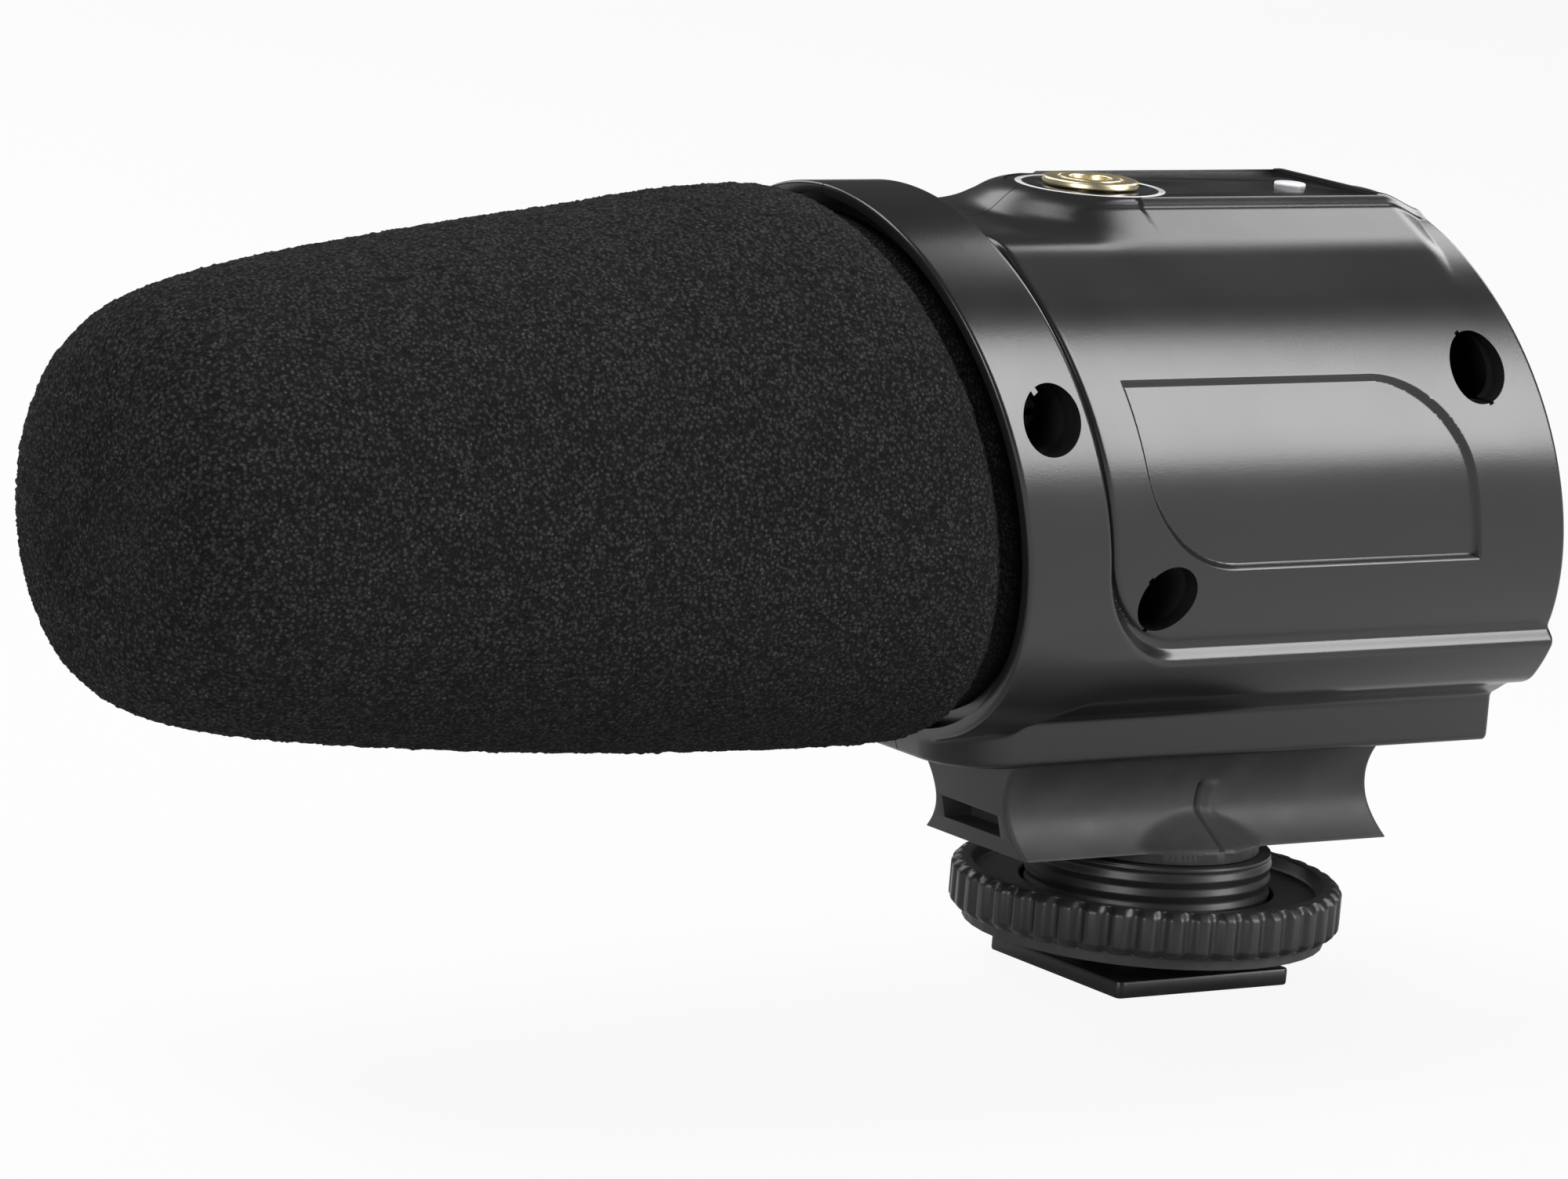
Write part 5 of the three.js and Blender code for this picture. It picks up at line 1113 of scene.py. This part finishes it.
ring_metal = black_metal("ring metal", 0.013, 0.43, 0.01)
foot_metal = black_metal("foot metal", 0.012, 0.4, 0.012)
print("made", ring_metal.name, "and", foot_metal.name)

# %% [markdown]
# ## A thread as one skin
# The neck has a fine thread. Each ring of points is a full circle whose radius follows the
# turn of the helix, so the thread needs no separate wire and closes without a seam. It fades
# out at both ends, as a cut thread runs out.

# %% Threaded neck
NECK, NECK_BORE, NECK_LOW, NECK_HIGH = 10.6, 3.1, 6.4, 11.1
PITCH, THREAD, NECK_EDGE = 1.25, 0.15, 0.3
FLANK_STEEP, FLANK_FLAT = 2.4, 0.12
NECK_SIDES, NECK_LEVELS = 128, 76


def threaded_neck():
    angle = around(NECK_SIDES)
    rings = [circle(NECK_BORE, NECK_LOW, angle), circle(NECK - THREAD - NECK_EDGE, NECK_LOW, angle)]
    for z in np.linspace(NECK_LOW + NECK_EDGE, NECK_HIGH, NECK_LEVELS):
        phase = (z / PITCH - angle / (2 * math.pi)) % 1.0
        flank = np.clip(np.abs(phase - 0.5) * FLANK_STEEP - FLANK_FLAT, 0, 1)
        fade = ease(z, NECK_LOW + NECK_EDGE, NECK_LOW + 3 * NECK_EDGE)
        fade = fade * (1 - ease(z, NECK_HIGH - NECK_EDGE, NECK_HIGH))
        rings.append(circle(NECK - THREAD + THREAD * flank * fade, z, angle))
    rings.append(circle(NECK_BORE, NECK_HIGH, angle))
    return facing_out(skin("threaded_neck_turned", rings, closed=True))


neck = smooth(threaded_neck(), 50)
dress(neck, ring_metal)
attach(neck, "microphone")
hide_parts("threaded_neck")
tell(neck)

# %% [markdown]
# ## The lock ring
# Fingers turn the ring by its ridges. They could be cut one by one, but a profile turned about
# the axis, with a wave in its outer radius, gives all of them in one skin. The upper face is
# turned down to a shallow dish.

# %% Lock ring
RING, RING_BORE, RING_LOW, RING_TOP, RING_EDGE = 16.85, 10.95, 4.6, 8.65, 0.55
DISH_EDGE, DISH, DISH_DEPTH = 15.15, 14.7, 1.1
RIDGES, RIDGE, POINTS_PER_RIDGE = 44, 0.5, 14
RIDGE_INNER, RIDGE_OUTER, WAVE_TOP, WAVE_FOOT = 15.9, 16.5, 0.28, 0.92


def lock_ring():
    sides = RIDGES * POINTS_PER_RIDGE
    angle = around(sides)
    phase = (np.arange(sides) % POINTS_PER_RIDGE) / POINTS_PER_RIDGE
    wave = 1 - ease(np.abs(phase - 0.5) * 2, WAVE_TOP, WAVE_FOOT)
    flat, dish_z = RING - RING_EDGE, RING_TOP - DISH_DEPTH
    profile = rounded([
        [RING_BORE, RING_LOW], [flat, RING_LOW], [RING, RING_LOW + RING_EDGE], [RING, RING_TOP - RING_EDGE],
        [flat, RING_TOP], [DISH_EDGE, RING_TOP], [DISH, dish_z], [RING_BORE, dish_z],
    ], 0.22, closed=True)
    rings = [
        circle(radius - RIDGE * ease(radius, RIDGE_INNER, RIDGE_OUTER) * (1 - wave), z, angle)
        for radius, z in profile
    ]
    return facing_out(skin("lock_ring_ridged", rings, closed=True))


ring = smooth(lock_ring(), 45)
dress(ring, ring_metal)
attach(ring, "ring")
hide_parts("lock_ring")
tell(ring)

# %% [markdown]
# ## The shoe foot
# The foot is a square plate with small round corners, milled in one with a post that has two
# flats, which key the washer, and with a round stem that goes up into the block. The plate's
# edges are softened before the post is joined, so that the post meets it at a clean line.

# %% Shoe foot
FOOT_HALF, FOOT_THICK, FOOT_ROUND = 9.25, 1.5, 0.6
POST, POST_FLAT, POST_TOP = 5.5, 4.9, 6.3
STEM, STEM_TOP, ROOT = 2.8, 15.9, 0.8


def square_outline(half, corner):
    inner = half - corner
    places = [(inner, inner, 0), (-inner, inner, 90), (-inner, -inner, 180), (inner, -inner, 270)]
    return [point for x, y, start in places for point in arc((x, y), corner, start, start + 90, 8)]


foot = prism("shoe_foot_plate", square_outline(FOOT_HALF, FOOT_ROUND), 0, FOOT_THICK)
soften(foot, edge=0.22, degrees=40)
flat_angle = math.degrees(math.acos(POST_FLAT / POST))
post_outline = [
    point for start in (0, 180)
    for point in arc((0, 0), POST, start + flat_angle, start + 180 - flat_angle, 20)
]
combine(foot, prism("post", post_outline, ROOT, POST_TOP), "UNION")
combine(foot, peg("stem", STEM, ROOT, STEM_TOP, 32), "UNION")
smooth(foot, 35)
dress(foot, foot_metal)
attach(foot, "microphone")
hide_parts("shoe_foot")
tell(foot)

# %% [markdown]
# ## The control plate
# The plate is gloss black with a thin pale ring printed around the jack. The print is a colour
# in the plate's own surface, drawn by distance from the jack, because real print has no
# thickness that the eye could see.

# %% Control plate
PRINT_RADIUS, PRINT_HALF, PRINT_EDGE = 6.05, 0.25, 0.31

plate = prism("control_plate_face", plate_outline(0.0), PLATE_TOP - PLATE_THICK, PLATE_TOP)
for y, radius in ((JACK_Y, 2.8), (LAMP_Y, 1.5)):
    combine(plate, peg("hole", radius, HOLE_LOW, HOLE_HIGH, 64, (0, y, 0)))
smooth(soften(plate, edge=0.12, degrees=40), 35)


def gloss_plate():
    finish = Finish("gloss plate")
    x, y, _ = finish.axes()
    from_jack = y - JACK_Y * MM
    reach = finish.maths("SQRT", x * x + from_jack * from_jack)
    off = finish.maths("ABSOLUTE", reach - PRINT_RADIUS * MM)
    print_mask = finish.range(off, PRINT_HALF * MM, PRINT_EDGE * MM, 1.0, 0.0)
    smear = finish.noise(220, 3.0, 0.6)
    return finish.surface(
        Base_Color=finish.blend(print_mask, grey(0.008), grey(0.8)),
        Roughness=finish.range(smear, 0.3, 0.75, 0.14, 0.24), Specular_IOR_Level=0.3,
    )


dress(plate, gloss_plate())
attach(plate, "microphone")
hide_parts("control_plate")
tell(plate)

# %% [markdown]
# ## Jack and nut
# The jack is a black plastic body with a gold plated bush that stands out of the plate, and a
# round nut holds it. Bush and nut are closed rings turned about the jack's axis. Gold plate is
# even in colour, so only fine streaks in its roughness and bump show the turning.

# %% Output jack
BUSH_BORE, BUSH, BUSH_LOW, BUSH_TOP = 1.8, 2.6, 58.0, PLATE_TOP + 0.75
NUT_BORE, NUT_UNDER, NUT_OVER = 2.72, 4.1, 4.0
NUT_LOW, NUT_TOP = PLATE_TOP + 0.1, PLATE_TOP + 0.7
JACK_WIDE, JACK_LONG, JACK_LOW, JACK_TOP = 3.7, 4.2, 55.8, 65.4  # half width and half length


def plain_plastic(name, level, rough):
    finish = Finish(name)
    grain = finish.noise(2400, 2.0, 0.6)
    cloud = finish.noise(140, 3.0, 0.6)
    return finish.surface(
        Base_Color=finish.blend(cloud, grey(level * 0.9), grey(level * 1.15)),
        Roughness=finish.range(cloud, 0.3, 0.7, rough, rough + 0.06), Normal=finish.bump(grain, 0.01, 0.4),
    )


def gold_plating():
    finish = Finish("gold plating")
    streak = finish.noise(900, 3.0, 0.6)
    return finish.surface(
        Base_Color=(0.8, 0.69, 0.45, 1), Metallic=1.0, Roughness=finish.range(streak, 0.3, 0.7, 0.3, 0.38),
        Normal=finish.bump(streak, 0.003, 0.3),
    )


def turned_ring(name, corners, radius, steps):
    """A closed ring about the jack's axis, from the corners of its section."""
    path = rounded(corners, radius, steps, closed=True)
    return smooth(lathe(name, np.vstack([path, path[:1]]), 64, (0, JACK_Y, 0)), 40)


gold, inner_plastic = gold_plating(), plain_plastic("inner plastic", 0.02, 0.5)
bush_corners = [[BUSH_BORE, BUSH_LOW], [BUSH, BUSH_LOW], [BUSH, BUSH_TOP], [BUSH_BORE, BUSH_TOP]]
bush = turned_ring("output_jack_bush", bush_corners, 0.14, 3)
jack_corners = [(side * JACK_WIDE, JACK_Y + side * JACK_LONG) for side in (-1, 1)]
jack_body = box("jack_body", (*jack_corners[0], JACK_LOW), (*jack_corners[1], JACK_TOP))
combine(jack_body, peg("bore", BUSH_BORE, BUSH_LOW - 0.1, 66, 48, (0, JACK_Y, 0)))
nut_corners = [[NUT_BORE, NUT_LOW], [NUT_UNDER, NUT_LOW], [NUT_OVER, NUT_TOP], [NUT_BORE, NUT_TOP]]
nut = turned_ring("jack_nut_round", nut_corners, 0.2, 4)

dress(jack_body, inner_plastic)
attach(jack_body, "microphone")
tell(jack_body)
for item, node, slot_name in ((bush, "output_jack", "gold"), (nut, "jack_nut", "gold")):
    dress(item, gold)
    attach(item, "microphone")
    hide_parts(node)
    tell(item)

# %% [markdown]
# ## The lamp's lens
# The lamp shows as a milky white dot. Its lens is a small turned plug with a slightly domed
# face and a flange under the plate. It could glow by an emission, but the dot throws no light
# on the plate around it, so a plain plastic whose colour is nearly white is truer.

# %% Lamp lens
LENS, LENS_LOW, FLANGE, FLANGE_TOP = 1.35, 64.2, 2.1, 65.4
LENS_EDGE, LENS_TOP = PLATE_TOP + 0.15, PLATE_TOP + 0.22

lamp_path = rounded([
    [0, LENS_LOW], [FLANGE, LENS_LOW], [FLANGE, FLANGE_TOP],
    [LENS, FLANGE_TOP], [LENS, LENS_EDGE], [0, LENS_TOP],
], 0.12)
lens = smooth(lathe("lamp_lens_milky", lamp_path, 48, (0, LAMP_Y, 0)), 50)
dress(lens, plain_plastic("milky lens", 0.8, 0.25))
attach(lens, "microphone")
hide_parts("lamp_lens")
tell(lens)

# %% [markdown]
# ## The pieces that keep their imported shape
# Everything inside, the tube, the switches, the washer and the screws are already right in
# form. Each gets the finish of its real material: bare metals mirror, with fine streaks from
# drawing or turning, and the circuit board is green with paler tracks.


# %% Finishes of the other pieces
def metal(name, colour, rough):
    finish = Finish(name)
    streak = finish.noise(1400, 3.0, 0.6)
    return finish.surface(
        Base_Color=(*colour, 1), Metallic=1.0, Roughness=finish.range(streak, 0.3, 0.7, rough, rough + 0.1),
        Normal=finish.bump(streak, 0.01, 0.5),
    )


def green_board():
    finish = Finish("green board")
    tracks = finish.field("TexBrick", 0, Vector=finish.place(), Scale=420.0, Mortar_Size=0.012)
    lines = finish.noise(700, 2.0, 0.5)
    tone = finish.blend(finish.range(lines, 0.45, 0.6), (0.012, 0.09, 0.04, 1), (0.03, 0.19, 0.09, 1))
    return finish.surface(Base_Color=finish.blend(0.15, tone, tracks), Roughness=0.4, Coat_Weight=0.3)


finishes = {
    "tube": black_metal("tube paint", 0.02, 0.4, 0.012),
    "screw": metal("blackened screw", (0.02, 0.02, 0.022), 0.5),
    "steel": metal("nickel plate", (0.55, 0.55, 0.57), 0.25),
    "brass foil": metal("brass foil", (0.55, 0.42, 0.18), 0.3),
    "cell": metal("cell sleeve", (0.34, 0.35, 0.37), 0.35),
    "board": green_board(),
    "inner": inner_plastic,
    "knob": plain_plastic("knob plastic", 0.016, 0.25),
    "rubber": rubber,
}
wearing = {
    "slotted_tube": "tube", "front_grille": "tube", "capsule": "brass foil", "capsule_holder": "rubber",
    "tube_socket": "inner", "case_screw_1": "screw", "case_screw_2": "screw", "case_screw_3": "screw",
    "circuit_board": "board", "battery": "cell", "battery_contact_front": "steel",
    "battery_contact_rear": "steel", "battery_tray": "inner", "power_switch_body": "inner",
    "level_switch_body": "inner", "power_switch_knob": "knob", "level_switch_knob": "knob",
    "block_screw_1": "screw", "block_screw_2": "screw", "neck_nut": "steel", "grip_washer": "rubber",
}
for node, finish_name in wearing.items():
    dress(nodes[node], finishes[finish_name])
print("finished nodes:", len(wearing))
